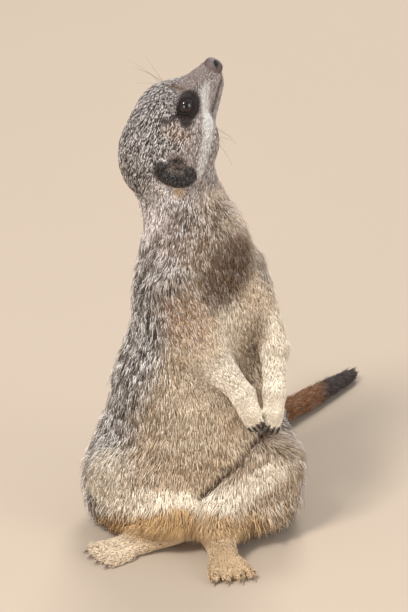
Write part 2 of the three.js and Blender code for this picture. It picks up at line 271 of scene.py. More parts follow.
def slit(side: int, points: Array) -> tuple[Array, Array]:
    """Where points are for one eye's slit, which is the shape of a lens.

    Args:
        side: 1 for the left eye, -1 for the right.
        points: places in the world.

    Returns:
        A reach that is 1 along the edge of the lids, and how squarely each point is in front.
    """
    out = unit(HEAD.axes[0] * side + HEAD.axes[1] * 0.22 + HEAD.axes[2] * 0.12)
    along = HEAD.axes[1] * 0.94 - HEAD.axes[2] * 0.34
    along = unit(along - out * (along @ out))
    way = unit(points - EYES[side])
    long, deep = way @ along, np.abs(way @ np.cross(along, out))
    sagitta = 0.28
    return np.hypot(long - 0.02, deep + sagitta) / math.hypot(0.86, sagitta), way @ out


@dataclass(frozen=True)
class Paw:
    """Four fingers or toes in a row, each a short rod that ends in a claw."""

    host: str
    root: Array
    along: Array
    across: Array
    palm: Array
    spread: float
    length: float
    radius: float
    pitch: float
    claw_length: float
    claw_radius: float
    claw_bend: float

    def digits(self) -> list[tuple[Array, Array, Array]]:
        """Start, end and direction of each digit.

        Returns:
            The start, the end and the direction of each.
        """
        found = []
        for place in (-1, -1 / 3, 1 / 3, 1):
            start = self.root + self.across * place * 1.5 * self.pitch
            way = unit(self.along + self.across * place * self.spread)
            found.append((start, start + way * self.length * (1 - 0.14 * place * place), way))
        return found


def hand(side: str, knuckles: Array, fingers: Array, across: Array) -> Paw:
    """One hand, from its knuckles and the ways that it points and is wide.

    Args:
        side: left or right.
        knuckles: the middle of the knuckles.
        fingers: which way the fingers point.
        across: which way the hand is wide, to the animal's left.

    Returns:
        The hand.
    """
    fingers, across = unit(fingers), unit(across)
    palm = np.cross(across, fingers)
    return Paw(f"hand_{side}", knuckles, fingers, across, palm, 0.06, 7.5, 2.0, 2.7, 10.5, 1.1, 80)


def foot(side: str, heel: Array, ball: Array) -> Paw:
    """One foot, flat on the floor from heel to ball.

    Args:
        side: left or right.
        heel: the middle of the heel.
        ball: the middle of the ball, where the toes start.

    Returns:
        The foot.
    """
    along = unit((ball - heel) * vec(1, 1, 0))
    across = np.cross(vec(0, 0, 1), along)
    root = vec(ball[0], ball[1], 3)
    return Paw(f"foot_{side}", root, along, across, vec(0, 0, -1), 0.24, 11, 2.8, 5.4, 7.5, 1.3, 34)


PAWS = (
    hand("right", vec(30, -40, 88), vec(0.34, -0.2, -0.92), vec(0.86, -0.3, 0.42)),
    hand("left", vec(43.6, -34, 85), vec(-0.14, -0.3, -0.93), vec(0.9, 0.25, -0.33)),
    foot("right", vec(-6, -20, 8), vec(-43, -41, 4.5)),
    foot("left", vec(9, -22, 8), vec(18.5, -62.5, 4.5)),
)
ARM_PATHS = {
    "right": [vec(-8, -22, 158), vec(6, -31, 119), vec(26, -37, 97), vec(30, -40, 88)],
    "left": [vec(27.5, 3, 158), vec(44.5, -16, 117), vec(43.8, -30, 95), vec(43.6, -34, 85)],
}
TAIL_PATH = [vec(-4, 42, 16), vec(21, 98, 10.4), vec(65, 161, 7), vec(100, 213, 4.8)]


class Region(Enum):
    """The parts of the body that differ in coat."""

    HEAD = "head"
    EAR = "ear"
    NECK = "neck"
    CHEST = "chest"
    BELLY = "belly"
    RUMP = "rump"
    UPPER_ARM = "upper_arm"
    FOREARM = "forearm"
    HAND = "hand"
    THIGH = "thigh"
    SHANK = "shank"
    FOOT = "foot"
    TAIL = "tail"

    @classmethod
    def of_node(cls, node: str) -> "Region":
        """The region that a solid belongs to.

        Args:
            node: the solid's name.

        Returns:
            Its region.
        """
        if node.startswith(("nose", "eye")):
            return cls.HEAD
        return next(region for region in cls if node.startswith(region.value))


@dataclass(frozen=True)
class Pelage:
    """How the coat grows on one region, in millimetres, degrees and tufts for each mm2."""

    depth: float
    length: float
    width: float
    lift: float
    density: float
    clump: float
    rough: float


PELAGE = {
    Region.HEAD: Pelage(1.4, 3.0, 0.34, 15, 5.2, 0.1, 0.22),
    Region.EAR: Pelage(0.3, 1.8, 0.3, 20, 5.0, 0.1, 0.3),
    Region.NECK: Pelage(3.0, 6.5, 0.48, 16, 2.9, 0.3, 0.18),
    Region.CHEST: Pelage(4.2, 8.0, 0.52, 16, 2.5, 0.4, 0.2),
    Region.BELLY: Pelage(4.6, 9.0, 0.52, 16, 2.3, 0.45, 0.2),
    Region.RUMP: Pelage(4.6, 9.5, 0.54, 18, 2.1, 0.5, 0.22),
    Region.UPPER_ARM: Pelage(2.6, 6.5, 0.46, 13, 2.8, 0.35, 0.2),
    Region.FOREARM: Pelage(1.6, 4.4, 0.4, 12, 3.6, 0.25, 0.17),
    Region.HAND: Pelage(0.5, 2.2, 0.32, 11, 4.6, 0.1, 0.14),
    Region.THIGH: Pelage(4.6, 11.0, 0.56, 21, 2.2, 0.6, 0.24),
    Region.SHANK: Pelage(3.0, 8.0, 0.52, 18, 2.4, 0.5, 0.22),
    Region.FOOT: Pelage(0.9, 4.2, 0.38, 18, 3.6, 0.4, 0.28),
    Region.TAIL: Pelage(2.4, 6.5, 0.48, 12, 2.4, 0.3, 0.15),
}

# How much a size grows, as a share of itself, on the muzzle, the back of the head and the lids.
MUZZLE_GROWTH = {"depth": -0.8, "length": -0.6, "width": -0.35, "density": 0.5}
CROWN_GROWTH = {"depth": 0.5, "length": 0.45}
LID_GROWTH = {"depth": -0.5, "length": -0.6, "width": -0.3, "density": 0.6}
# How much is added to a size at the hocks, and to the skin's depth behind the nose pad.
HOCK_GROWTH = {"length": 4.5, "lift": 12}
UNDER_NOSE = 1.8


def nearest_run(path: list[Array], points: Array) -> tuple[Array, Array]:
    """Finds the length of a path that is nearest to each point.

    Args:
        path: the path's corners.
        points: places in the world.

    Returns:
        How far off the path each point is, and which way the path runs there.
    """
    offs, ways = [], []
    for a, b in zip(path, path[1:]):
        axis = b - a
        along = np.clip((points - a) @ axis / (axis @ axis), 0, 1)
        offs.append(np.linalg.norm(points - a - along[:, None] * axis, axis=1))
        ways.append(unit(axis))
    return np.min(offs, axis=0), np.array(ways)[np.argmin(offs, axis=0)]


def lie_of_coat(region: Region, points: Array) -> Array:
    """Which way the hair points on a region, before it is laid along the skin.

    Args:
        region: the region.
        points: places on it.

    Returns:
        A direction for each point.
    """
    down = np.tile(vec(0, 0, -1), (len(points), 1))
    left = points[:, 0] > (30 if region in (Region.UPPER_ARM, Region.FOREARM, Region.HAND) else 0)
    if region in (Region.HEAD, Region.EAR):
        return down * 0.15 - HEAD.axes[1]
    if region in (Region.UPPER_ARM, Region.FOREARM):
        left_way, right_way = (nearest_run(ARM_PATHS[side], points)[1] for side in SIDES)
        return np.where(left[:, None], left_way, right_way)
    if region is Region.HAND:
        return np.where(left[:, None], PAWS[1].along, PAWS[0].along)
    if region is Region.FOOT:
        return np.where(left[:, None], PAWS[3].along, PAWS[2].along)
    if region in (Region.THIGH, Region.SHANK):
        outward = np.where(left, 0.42, -0.5)[:, None] * vec(1, 0.25, 0)
        return down + outward * (1 if region is Region.THIGH else 0.4)
    if region is Region.TAIL:
        return nearest_run(TAIL_PATH, points)[1]
    return down


# ---- markings, with painted shade in the creases: the same on skin and coat ----


class Ink(Enum):
    """The coat's colours, and a painted shade for its creases, as 0 to 255 display steps."""

    GRIZZLE = (152, 140, 130)
    CROWN = (112, 98, 92)
    SAND = (210, 186, 156)
    BELLY = (214, 192, 164)
    CREAM = (250, 237, 215)
    WHITE = (232, 228, 222)
    PALE_NECK = (238, 224, 218)
    RUFOUS = (186, 142, 106)
    UMBER = (104, 76, 52)
    # Painted shade: a dark brown laid in creases, under the chin and head, and between the arms.
    FOLD = (118, 92, 68)
    CHEEK = (160, 143, 134)
    MAUVE = (154, 137, 129)
    PATCH = (58, 47, 44)
    EAR_BLACK = (44, 37, 35)
    EAR_BROWN = (98, 82, 71)
    TAIL_BROWN = (138, 88, 42)
    TAIL_DARK = (62, 49, 43)
    OCHRE = (206, 168, 116)
    BUFF = (216, 186, 146)
    TAN = (198, 158, 106)
    TICK_DARK = (30, 26, 26)
    TICK_PALE = (252, 246, 240)
    LID_EDGE = (24, 19, 18)

    def light(self) -> Array:
        """The colour as linear light."""
        return ink(*self.value)


@dataclass(frozen=True)
class Mark:
    """A soft-edged mark: an ellipsoid, or a rod where end is given, in world or head places."""

    ink: Ink
    centre: Triple
    radii: Triple
    strength: float
    ticked: float
    end: Triple | None = None
    edge: float = 0.35

    def mask(self, places: Array) -> Array:
        """How strong the mark is at each place.

        Args:
            places: places in the mark's own frame.

        Returns:
            The strength, from 0 to 1.
        """
        start = np.array(self.centre)
        off = places - start
        if self.end is not None:
            axis = np.array(self.end) - start
            along = np.clip(off @ axis / (axis @ axis), 0, 1)
            off = off - along[:, None] * axis
        reach = np.linalg.norm(off / np.array(self.radii), axis=1)
        return self.strength * ramp(1 + self.edge, 1 - self.edge, reach)


# Places here are in the world, in millimetres.
BODY_MARKS = (
    Mark(Ink.PALE_NECK, (-18, -13, 192), (14, 18, 22), 1.0, 0.6, edge=0.7),
    # The crease shade marks from here to the upper chest are painted shade under the chin and head, and along
    # the neck's crease.
    Mark(Ink.FOLD, (8, -12, 190), (14, 12, 13), 0.55, 0.6, edge=0.6),
    Mark(Ink.RUFOUS, (-10, -24, 180), (12, 14, 7), 0.35, 0.5, edge=0.6),
    Mark(Ink.FOLD, (-25, -6, 168), (3.5, 10, 4), 0.5, 0.6, (-19, -13, 179), edge=0.6),
    Mark(Ink.FOLD, (-18, -13, 180), (3.5, 9, 3.5), 0.5, 0.6, (-8, -16, 199), edge=0.6),
    Mark(Ink.FOLD, (-6, -16, 198), (6, 9, 6), 0.6, 0.6, (16, -6, 199), edge=0.7),
    Mark(Ink.FOLD, (-2, -18, 190), (12, 12, 6), 0.45, 0.7, edge=0.6),
    Mark(Ink.RUFOUS, (-9, -33, 144), (14, 16, 17), 0.5, 0.6, edge=0.7),
    Mark(Ink.FOLD, (7, -22, 167), (19, 16, 19), 0.62, 0.4, edge=0.5),
    Mark(Ink.UMBER, (19, -13, 170), (12, 17, 15), 0.95, 0.2, edge=0.45),
    Mark(Ink.UMBER, (11, -24, 158), (10, 12, 14), 0.85, 0.25, edge=0.5),
    Mark(Ink.PALE_NECK, (14, 4, 200), (3.2, 12, 4), 0.25, 0.5, (30, 4, 178), edge=0.6),
    Mark(Ink.CREAM, (18, -25, 137), (10, 14, 12), 0.8, 0.15, edge=0.6),
    Mark(Ink.GRIZZLE, (40, -8, 172), (9, 20, 20), 0.8, 0.6, edge=0.6),
    Mark(Ink.CREAM, (-48, -24, 46), (12, 16, 16), 0.6, 0.4, edge=0.6),
    Mark(Ink.CREAM, (47, -16, 130), (9, 18, 14), 0.65, 0.15, (46, -34, 96)),
    Mark(Ink.CREAM, (14, -38, 114), (8, 14, 7), 0.35, 0.4, (28, -46, 96), edge=0.6),
    # Painted shade in the hollow between the left arm and the chest.
    Mark(Ink.FOLD, (33, -18, 126), (5, 16, 16), 0.5, 0.3, edge=0.7),
    Mark(Ink.CREAM, (-2, -33, 76), (18, 14, 20), 0.35, 0.2, edge=0.7),
    # Painted shade along the crease of the groin.
    Mark(Ink.FOLD, (37, -12, 67), (5, 12, 6), 0.85, 0.2, (8, -26, 34)),
    Mark(Ink.CREAM, (44, -26, 48), (6.5, 14, 5), 0.9, 0.1, (8, -28, 26)),
    Mark(Ink.CREAM, (-50, -25, 35), (11, 18, 6), 0.85, 0.1, (-6, -26, 30)),
    Mark(Ink.TAN, (-44, -18, 15), (11, 19, 8), 1.0, 0.1, (-14, -34, 19)),
    Mark(Ink.OCHRE, (-10, -30, 18), (15, 14, 8), 0.9, 0.05),
    Mark(Ink.OCHRE, (11, -35, 17), (9, 14, 7), 0.8, 0.1, (32, -33, 20)),
    Mark(Ink.SAND, (46, -22, 10), (14, 16, 12), 0.7, 0.2),
    Mark(Ink.CREAM, (-50, -40, 5), (22, 20, 8), 0.4, 0.1),
)

# Places here are on the head: aside (either side), ahead and above.
HEAD_MARKS = (
    Mark(Ink.WHITE, (0, 14, -24), (12, 32, 8), 0.5, 0.5, edge=0.6),
    Mark(Ink.WHITE, (8.3, 35, -7.6), (6, 5, 2.6), 0.85, 0.2, (14.3, 21, -13.4), edge=0.5),
    Mark(Ink.WHITE, (14.3, 21, -13.4), (6, 5, 2.8), 0.85, 0.35, (22, -4, -19), edge=0.5),
    Mark(Ink.RUFOUS, (18.5, 11.0, 1), (8, 4.5, 7), 0.55, 0.8, edge=0.6),
    Mark(Ink.PALE_NECK, (22, -26, -9), (9, 11, 15), 0.85, 0.7, edge=0.6),
    Mark(Ink.MAUVE, (0, 42, -2), (9, 15, 6), 0.85, 0.3, edge=0.5),
    Mark(Ink.MAUVE, (9, 33, 4), (7, 5, 4.5), 0.8, 0.15),
    Mark(Ink.PATCH, (15, 26.2, -0.8), (9, 10.4, 6.7), 1.0, 0.0, edge=0.14),
    Mark(Ink.PATCH, (17, 18.6, -1.8), (9, 4.6, 4.2), 1.0, 0.0, edge=0.25),
    Mark(Ink.PATCH, (16.2, 17.5, 4.6), (5, 1.0, 2), 0.9, 0.0, (17.2, 13.4, 9), edge=0.5),
    Mark(Ink.UMBER, (5.3, 29.3, 10), (4, 1.0, 2), 0.8, 0.2, (7.6, 31, 4.8), edge=0.5),
    Mark(Ink.PATCH, (6.3, 25.5, -15.8), (4, 1.2, 0.8), 0.75, 0.0, (2.5, 41, -15.0), edge=0.5),
    Mark(Ink.MAUVE, (22, -1.7, -5), (6, 3.5, 7), 0.75, 0.2),
    Mark(Ink.OCHRE, (24, -18.8, -13), (8, 3.0, 4), 0.7, 0.2),
    Mark(Ink.UMBER, (0, 50, -9), (9, 4.2, 9), 0.9, 0.0, edge=0.2),
)


@dataclass
class Markings:
    """What the coat looks like at each point: its ground colour and how much it is ticked."""

    ground: Array
    ticked: Array

    def wash(self, colour: Ink, ticked: float, share: Array) -> None:
        """Lays a colour and its ticking over what is there."""
        self.ground = mixed(self.ground, colour.light(), share)
        self.ticked = mixed(self.ticked, np.full_like(self.ticked, ticked), share)

    def lay(self, marks: Iterable[Mark], places: Array, share: Array) -> None:
        """Lays marks one over the other, at places in their own frame."""
        for mark in marks:
            self.wash(mark.ink, mark.ticked, mark.mask(places) * share)


@dataclass(frozen=True)
class Coatmap:
    """Works out the markings of any point of the body from its place and its region."""

    ears: "EarShape"

    @staticmethod
    def dorsality(points: Array) -> Array:
        """How far round each point is from belly to back.

        Args:
            points: places on the skin.

        Returns:
            1 along the middle of the back, and -1 along the middle of the belly.
        """
        heights = [20, 44, 84, 140, 200, 230]
        turn = np.radians(np.interp(points[:, 2], heights, [8, 8, 18, 40, 70, 100]))
        aside = points[:, 0] - np.interp(points[:, 2], heights, [0, -1, -1, 0, -2, -12])
        behind = points[:, 1] - np.interp(points[:, 2], heights, [14, 12, 6, 3, 4, 4])
        radial = unit(np.stack([aside, behind], axis=1))
        return radial[:, 0] * -np.sin(turn) + radial[:, 1] * np.cos(turn)

    def at(self, points: Array, region_share: dict[Region, Array]) -> Markings:
        """The markings.

        Args:
            points: places on the skin.
            region_share: how much each point belongs to each region.

        Returns:
            Their markings.
        """
        spine = self.dorsality(points)
        marks = Markings(np.tile(Ink.SAND.light(), (len(points), 1)), np.full(len(points), 0.45))
        marks.wash(Ink.GRIZZLE, 0.95, ramp(-0.68, -0.2, spine))
        marks.wash(Ink.BELLY, 0.12, ramp(-0.7, -0.95, spine))
        self._limbs(marks, points, region_share)
        trunk = 1 - region_share[Region.TAIL] - region_share[Region.HEAD] - region_share[Region.EAR]
        marks.lay(BODY_MARKS, points, np.clip(trunk, 0, 1))
        self._head(marks, points, region_share)
        return marks

    @staticmethod
    def _limbs(marks: Markings, points: Array, region_share: dict[Region, Array]) -> None:
        """Lays the colours of the limbs and the tail.

        Args:
            marks: the markings so far.
            points: places on the skin.
            region_share: how much each point belongs to each region.
        """
        marks.wash(Ink.CREAM, 0.4, 0.6 * region_share[Region.FOREARM])
        marks.wash(Ink.CREAM, 0.05, region_share[Region.HAND])
        marks.wash(Ink.BUFF, 0.1, region_share[Region.FOOT])
        marks.wash(Ink.SAND, 0.4, 0.45 * region_share[Region.SHANK])
        tail = region_share[Region.TAIL]
        marks.wash(Ink.TAIL_BROWN, 0.12, tail * ramp(20, 50, points[:, 0]))
        marks.wash(Ink.TAIL_DARK, 0.05, tail * ramp(70, 80, points[:, 0]))

    def _head(self, marks: Markings, points: Array, region_share: dict[Region, Array]) -> None:
        """Lays the colours of the head and ears.

        Args:
            marks: the markings so far.
            points: places on the skin.
            region_share: how much each point belongs to each region.
        """
        on_head = HEAD.read(points)
        places = np.stack([np.abs(on_head[:, 0]), on_head[:, 1], on_head[:, 2]], axis=1)
        head = np.clip(region_share[Region.HEAD] + region_share[Region.EAR], 0, 1)
        marks.wash(Ink.CHEEK, 0.6, head)
        top = head * ramp(-9, 0, places[:, 2] + 0.15 * (places[:, 1] - 10))
        marks.wash(Ink.CROWN, 0.95, top)
        marks.lay(HEAD_MARKS, places, head)
        black, brown = self.ears.shades(points)
        marks.wash(Ink.EAR_BROWN, 0.15, brown * head)
        marks.wash(Ink.EAR_BLACK, 0.1, black * head)


# ---- the head's shape ----


@dataclass(frozen=True)
class EarShape:
    """Both ears: a thick furred crescent, a ridge inside it and two small lobes over the opening."""

    ahead: float = -9.4
    above: float = -6.0
    aside: float = 22.4
    half_long: float = 8.8
    half_deep: float = 5.0
    rim: float = 2.4
    sweep: tuple[float, float] = (-22, 202)

    def spot(self, side: int, u: float, v: float, out: float) -> Array:
        """A place on an ear.

        Args:
            side: 1 for the left ear, -1 for the right.
            u: how far it is towards the upper end.
            v: how far it is towards the rear edge.
            out: how far it is out from the head.

        Returns:
            The place in the world.
        """
        ahead = self.ahead - 0.24 * u - 0.94 * v
        above = self.above + 0.97 * u - 0.34 * v
        return HEAD.place(side * (self.aside + out), ahead, above)

    def arc(self, side: int, steps: int = 9) -> list[Array]:
        """Points along the crescent.

        Args:
            side: 1 for the left ear, -1 for the right.
            steps: how many points there are.

        Returns:
            Places in the world.
        """
        turns = np.radians(np.linspace(*self.sweep, steps))
        long, deep = self.half_long, self.half_deep
        return [
            self.spot(side, long * math.cos(t), deep * math.sin(t), 0.4 + 1.5 * math.sin(t)) for t in turns
        ]

    def field(self) -> Field:
        """The flesh of both ears.

        Returns:
            Their field.
        """
        pieces: list[Field] = []
        for side in (-1, 1):
            arc = self.arc(side)
            girths = 0.62 + 0.38 * np.sin(np.linspace(0, math.pi, len(arc)))
            radii = [self.rim * float(girth) for girth in girths]
            rods = [limb(a, b, ra, rb) for a, b, ra, rb in zip(arc, arc[1:], radii, radii[1:])]
            ridge = [self.spot(side, u, 0.3 + 0.03 * u * u, 0.5) for u in (-5.5, -2, 2, 5.5)]
            rods += [limb(a, b, 1.2, 1.2) for a, b in zip(ridge, ridge[1:])]
            pieces.append(blend(1.2, *rods))
            pieces.append(mass(self.spot(side, 1.2, -3.2, 0.6), vec(1.6, 1.5, 1.5)))
            pieces.append(mass(self.spot(side, -3.2, -3.5, 0.4), vec(1.7, 1.6, 1.6)))
        return blend(0.8, *pieces)

    def hollow(self) -> Field:
        """The room taken out of the head inside both ears.

        Returns:
            Its field.
        """
        pits = []
        for side in (-1, 1):
            pits.append(mass(self.spot(side, 0, -1.2, 0.8), vec(3.6, 6.6, 5.2)))
            pits.append(mass(self.spot(side, -0.6, -3.0, 0.4), vec(3.2, 3.4, 3.8)))
        return blend(1, *pits)

    def shades(self, points: Array) -> tuple[Array, Array]:
        """How black and how brown each point is, for being on an ear; its pits are made black as painted
        shade.

        Args:
            points: places on the skin.

        Returns:
            How black each is, and how brown.
        """
        black, brown = np.zeros(len(points)), np.zeros(len(points))
        for side in (-1, 1):
            near = self.spot(side, 0, -0.5, 0)
            inside = ramp(9.5, 7.0, np.linalg.norm(points - near, axis=1))
            brown = np.maximum(brown, inside)
            reach, _ = nearest_run(self.arc(side), points)
            black = np.maximum(black, ramp(self.rim + 1.7, self.rim + 0.1, reach))
            # Painted shade: the pits by the lobes and at the ends of the crescent are made black.
            for u, v in ((1.2, -5.4), (-3.2, -5.7), (-1, -2.6), (5, -3.5), (-6.4, -3)):
                pit = np.linalg.norm(points - self.spot(side, u, v, -0.6), axis=1)
                black = np.maximum(black, 0.9 * ramp(2.1, 0.9, pit))
        return black, brown


@dataclass(frozen=True)
class HeadShape:
    """The head's flesh out to the tips of its coat, as masses that run into each other."""

    ears: EarShape

    def field(self) -> Field:
        """The whole head with its ears.

        Returns:
            Its field.
        """
        place, axes = HEAD.place, HEAD.axes
        cranium = mass(place(0, -6, -2), vec(23.5, 30, 25.6), axes)
        forehead = mass(place(0, 12, 3), vec(18.5, 20, 19), axes)
        muzzle = limb(place(0, 28, -5.5), place(0, 43.8, -8.0), 13, 6.1, axes[0], 1.22)
        nose = mass(place(0, 46.2, -8.9), vec(4.3, 3.9, 5.0), axes)
        jaw = limb(place(0, 6, -14.5), place(0, 39, -14.0), 9.9, 4.3, axes[0], 1.1)
        cheeks = [mass(place(s * 12.5, 3, -12), vec(11, 19, 15), axes) for s in (-1, 1)]
        brows = [mass(place(s * 10.5, 20, 4.5), vec(6, 7.5, 6), axes) for s in (-1, 1)]
        sockets = [mass(place(s * 18.0, 25.5, 0.8), vec(5.2, 8.5, 7), axes) for s in (-1, 1)]
        skull = blend(7, cranium, forehead, blend(5, muzzle, jaw), *cheeks)
        face = carve(4, blend(4, blend(3, skull, nose), *brows), blend(1, *sockets))
        eared = blend(1.5, carve(1.2, face, self.ears.hollow()), self.ears.field())
        lids = [mass(centre, np.full(3, EYE_RADIUS + 1.05)) for centre in EYES.values()]
        eared = blend(3, eared, blend(0.1, *lids))
        return blend(8, eared, limb(vec(-2, 5, 178), place(0, -14, -10), 26, 22))


@dataclass(frozen=True)
class Crease:
    """A groove pressed into the skin along a path."""

    path: list[Array]
    depth: float
    width: float

    def press(self, points: Array) -> Array:
        """How deep the groove is at each point."""
        off, _ = nearest_run(self.path, points)
        return self.depth * np.exp(-((off / self.width) ** 2))


CREASES = (
    *(Crease([HEAD.place(s * 9, 25, -15.4), HEAD.place(s * 3, 42, -15.0)], 0.6, 0.8) for s in (-1, 1)),
    Crease([vec(-27, 0, 164), vec(-19, -13, 178), vec(-10, -16, 194)], 1.5, 3.2),
    Crease([vec(-16, -30, 58), vec(-6, -28, 42), vec(3, -25, 27)], 2.0, 3.0),
    Crease([vec(38, -11, 66), vec(25, -22, 50), vec(4, -25, 29)], 2.4, 3.2),
)


# ---- meshes ----


def linked(name: str, data: bpy.types.ID) -> bpy.types.Object:
    """An object of the scene that holds a mesh, a lamp or a camera.

    Args:
        name: its name.
        data: what it holds.

    Returns:
        The object.
    """
    obj = bpy.data.objects.new(name, data)
    bpy.context.scene.collection.objects.link(obj)
    return obj


def remeshed(obj: bpy.types.Object, voxel: float) -> bpy.types.Object:
    """Remakes an object's mesh as one closed shell of even faces.

    Args:
        obj: the object.
        voxel: the size of a face, in millimetres.

    Returns:
        The same object.
    """
    remesh = obj.modifiers.new("remesh", "REMESH")
    remesh.mode, remesh.voxel_size = "VOXEL", voxel * MM
    graph = bpy.context.evaluated_depsgraph_get()
    mesh = bpy.data.meshes.new_from_object(obj.evaluated_get(graph))
    obj.modifiers.clear()
    old, obj.data = obj.data, mesh
    bpy.data.meshes.remove(old)
    return obj


@contextmanager
def edited(mesh: bpy.types.Mesh) -> Iterator[bmesh.types.BMesh]:
    """Opens a mesh as a bmesh, which is written back and freed at the end.

    Args:
        mesh: the mesh.

    Yields:
        The bmesh.
    """
    bm = bmesh.new()
    bm.from_mesh(mesh)
    yield bm
    bm.to_mesh(mesh)
    bm.free()


def new_object(name: str, bm: bmesh.types.BMesh) -> bpy.types.Object:
    """A linked object that holds a bmesh, which is then freed.

    Args:
        name: its name.
        bm: the bmesh.

    Returns:
        The object.
    """
    mesh = bpy.data.meshes.new(name)
    bm.to_mesh(mesh)
    bm.free()
    return linked(name, mesh)


def rows_of(items: bpy.types.bpy_prop_collection, name: str, width: int, kind: type = np.float32) -> Array:
    """Reads one value of every vertex, edge or face of a mesh.

    Args:
        items: the vertices, the edges or the faces.
        name: the value's name.
        width: how many numbers it has.
        kind: the type that the mesh keeps it in.

    Returns:
        An array with a row for each.
    """
    flat = np.empty(len(items) * width, kind)
    items.foreach_get(name, flat)
    return flat.reshape(-1, width)


def corners_of(mesh: bpy.types.Mesh) -> Array:
    """A mesh's vertices in millimetres."""
    return rows_of(mesh.vertices, "co", 3).astype(float) / MM


def move_corners(mesh: bpy.types.Mesh, corners: Array) -> None:
    """Puts a mesh's vertices at places given in millimetres."""
    mesh.vertices.foreach_set("co", (corners * MM).astype(np.float32).ravel())
    mesh.update()


def edges_of(mesh: bpy.types.Mesh) -> Array:
    """A mesh's edges as pairs of vertex numbers."""
    return rows_of(mesh.edges, "vertices", 2, np.int32)


def normals_of(mesh: bpy.types.Mesh) -> Array:
    """A mesh's vertex normals."""
    return rows_of(mesh.vertex_normals, "vector", 3).astype(float)


def relaxed(values: Array, edges: Array, rounds: int, share: Array | float = 0.5) -> Array:
    """Values on vertices, each drawn towards the mean of its neighbours, some rounds over.

    Args:
        values: a value or a row for each vertex.
        edges: pairs of vertex numbers.
        rounds: how many times it is done.
        share: how far a value goes each time.

    Returns:
        The smoothed values.
    """
    count = np.bincount(edges.ravel(), minlength=len(values)).astype(float)
    flat = values.reshape(len(values), -1)
    pull = np.broadcast_to(np.asarray(share, float), (len(values),))[:, None]
    a, b = edges.T
    for _ in range(rounds):
        total = np.stack(
            [
                np.bincount(a, column[b], len(flat)) + np.bincount(b, column[a], len(flat))
                for column in flat.T
            ],
            axis=1,
        )
        flat = flat + (total / count[:, None] - flat) * pull
    return flat.reshape(values.shape)


def paint(mesh: bpy.types.Mesh, name: str, colours: Array) -> None:
    """Stores a colour for each vertex.

    Args:
        mesh: the mesh.
        name: the name of the attribute.
        colours: a colour in linear light for each vertex.
    """
    layer = mesh.color_attributes.new(name, "FLOAT_COLOR", "POINT")
    flat = np.ones((len(colours), 4), np.float32)
    flat[:, :3] = colours
    layer.data.foreach_set("color", flat.ravel())


# ---- finishes ----


class NodeTree:
    """A thin wrapper that adds and links shader nodes."""

    def __init__(self, tree: bpy.types.NodeTree) -> None:
        """Starts on a tree."""
        self.tree = tree

    def add(
        self, kind: str, inputs: dict[str | int, object] | None = None, **settings: object
    ) -> bpy.types.Node:
        """Adds a node.

        Args:
            kind: its type.
            inputs: values or sockets for its inputs.
            settings: properties of the node itself, which are set first.

        Returns:
            The node.
        """
        node = self.tree.nodes.new(kind)
        for name, value in settings.items():
            setattr(node, name, value)
        for name, value in (inputs or {}).items():
            if isinstance(value, bpy.types.NodeSocket):
                self.tree.links.new(value, node.inputs[name])
            else:
                node.inputs[name].default_value = value
        return node


def mottle_group() -> bpy.types.NodeTree:
    """Fine mottling of a colour with a height to match, as a node group shared by all finishes.

    Returns:
        The group, which is made at the first call.
    """
    name = "mottle"
    if name in bpy.data.node_groups:
        return bpy.data.node_groups[name]
    group = bpy.data.node_groups.new(name, "ShaderNodeTree")
    sockets = (
        ("Colour", "INPUT", "Color"),
        ("Scale", "INPUT", "Float"),
        ("Amount", "INPUT", "Float"),
        ("Colour", "OUTPUT", "Color"),
        ("Height", "OUTPUT", "Float"),
    )
    for label, way, kind in sockets:
        group.interface.new_socket(label, in_out=way, socket_type=f"NodeSocket{kind}")
    nodes = NodeTree(group)
    given = nodes.add("NodeGroupInput")
    place = nodes.add("ShaderNodeTexCoord")
    noise = nodes.add(
        "ShaderNodeTexNoise",
        {"Vector": place.outputs["Object"], "Scale": given.outputs["Scale"], "Detail": 3.0, "Roughness": 0.6},
    )
    value = noise.outputs["Fac"]
    for operation, by in (("SUBTRACT", 0.5), ("MULTIPLY", given.outputs["Amount"]), ("ADD", 1.0)):
        value = nodes.add("ShaderNodeMath", {0: value, 1: by}, operation=operation).outputs[0]
    shaded = nodes.add("ShaderNodeHueSaturation", {"Color": given.outputs["Colour"], "Value": value})
    nodes.add("NodeGroupOutput", {"Colour": shaded.outputs["Color"], "Height": noise.outputs["Fac"]})
    return group


@dataclass(frozen=True)
class Finish:
    """A surface whose colour comes from an attribute or is one ink, mottled and bumped."""

    name: str
    attribute: str | None = None
    tint: Triple = (128, 128, 128)
    roughness: float = 0.8
    specular: float = 0.3
    mottle_scale: float = 400
    mottle: float = 0.3
    bump: float = 0.0

    def material(self) -> bpy.types.Material:
        """Makes the material.

        Returns:
            The material.
        """
        made = bpy.data.materials.new(self.name)
        made.use_nodes = True
        made.node_tree.nodes.clear()
        nodes = NodeTree(made.node_tree)
        colour = (*ink(*self.tint), 1)
        if self.attribute:
            colour = nodes.add("ShaderNodeVertexColor", layer_name=self.attribute).outputs["Color"]
        effect = {"Colour": colour, "Scale": self.mottle_scale, "Amount": self.mottle}
        group = nodes.add("ShaderNodeGroup", effect, node_tree=mottle_group())
        shader = nodes.add(
            "ShaderNodeBsdfPrincipled",
            {
                "Base Color": group.outputs["Colour"],
                "Roughness": self.roughness,
                "Specular IOR Level": self.specular,
            },
        )
        if self.bump:
            rise = {"Height": group.outputs["Height"], "Strength": self.bump, "Distance": 0.3 * MM}
            bump = nodes.add("ShaderNodeBump", rise)
            nodes.tree.links.new(bump.outputs["Normal"], shader.inputs["Normal"])
        nodes.add("ShaderNodeOutputMaterial", {"Surface": shader.outputs["BSDF"]})
        return made


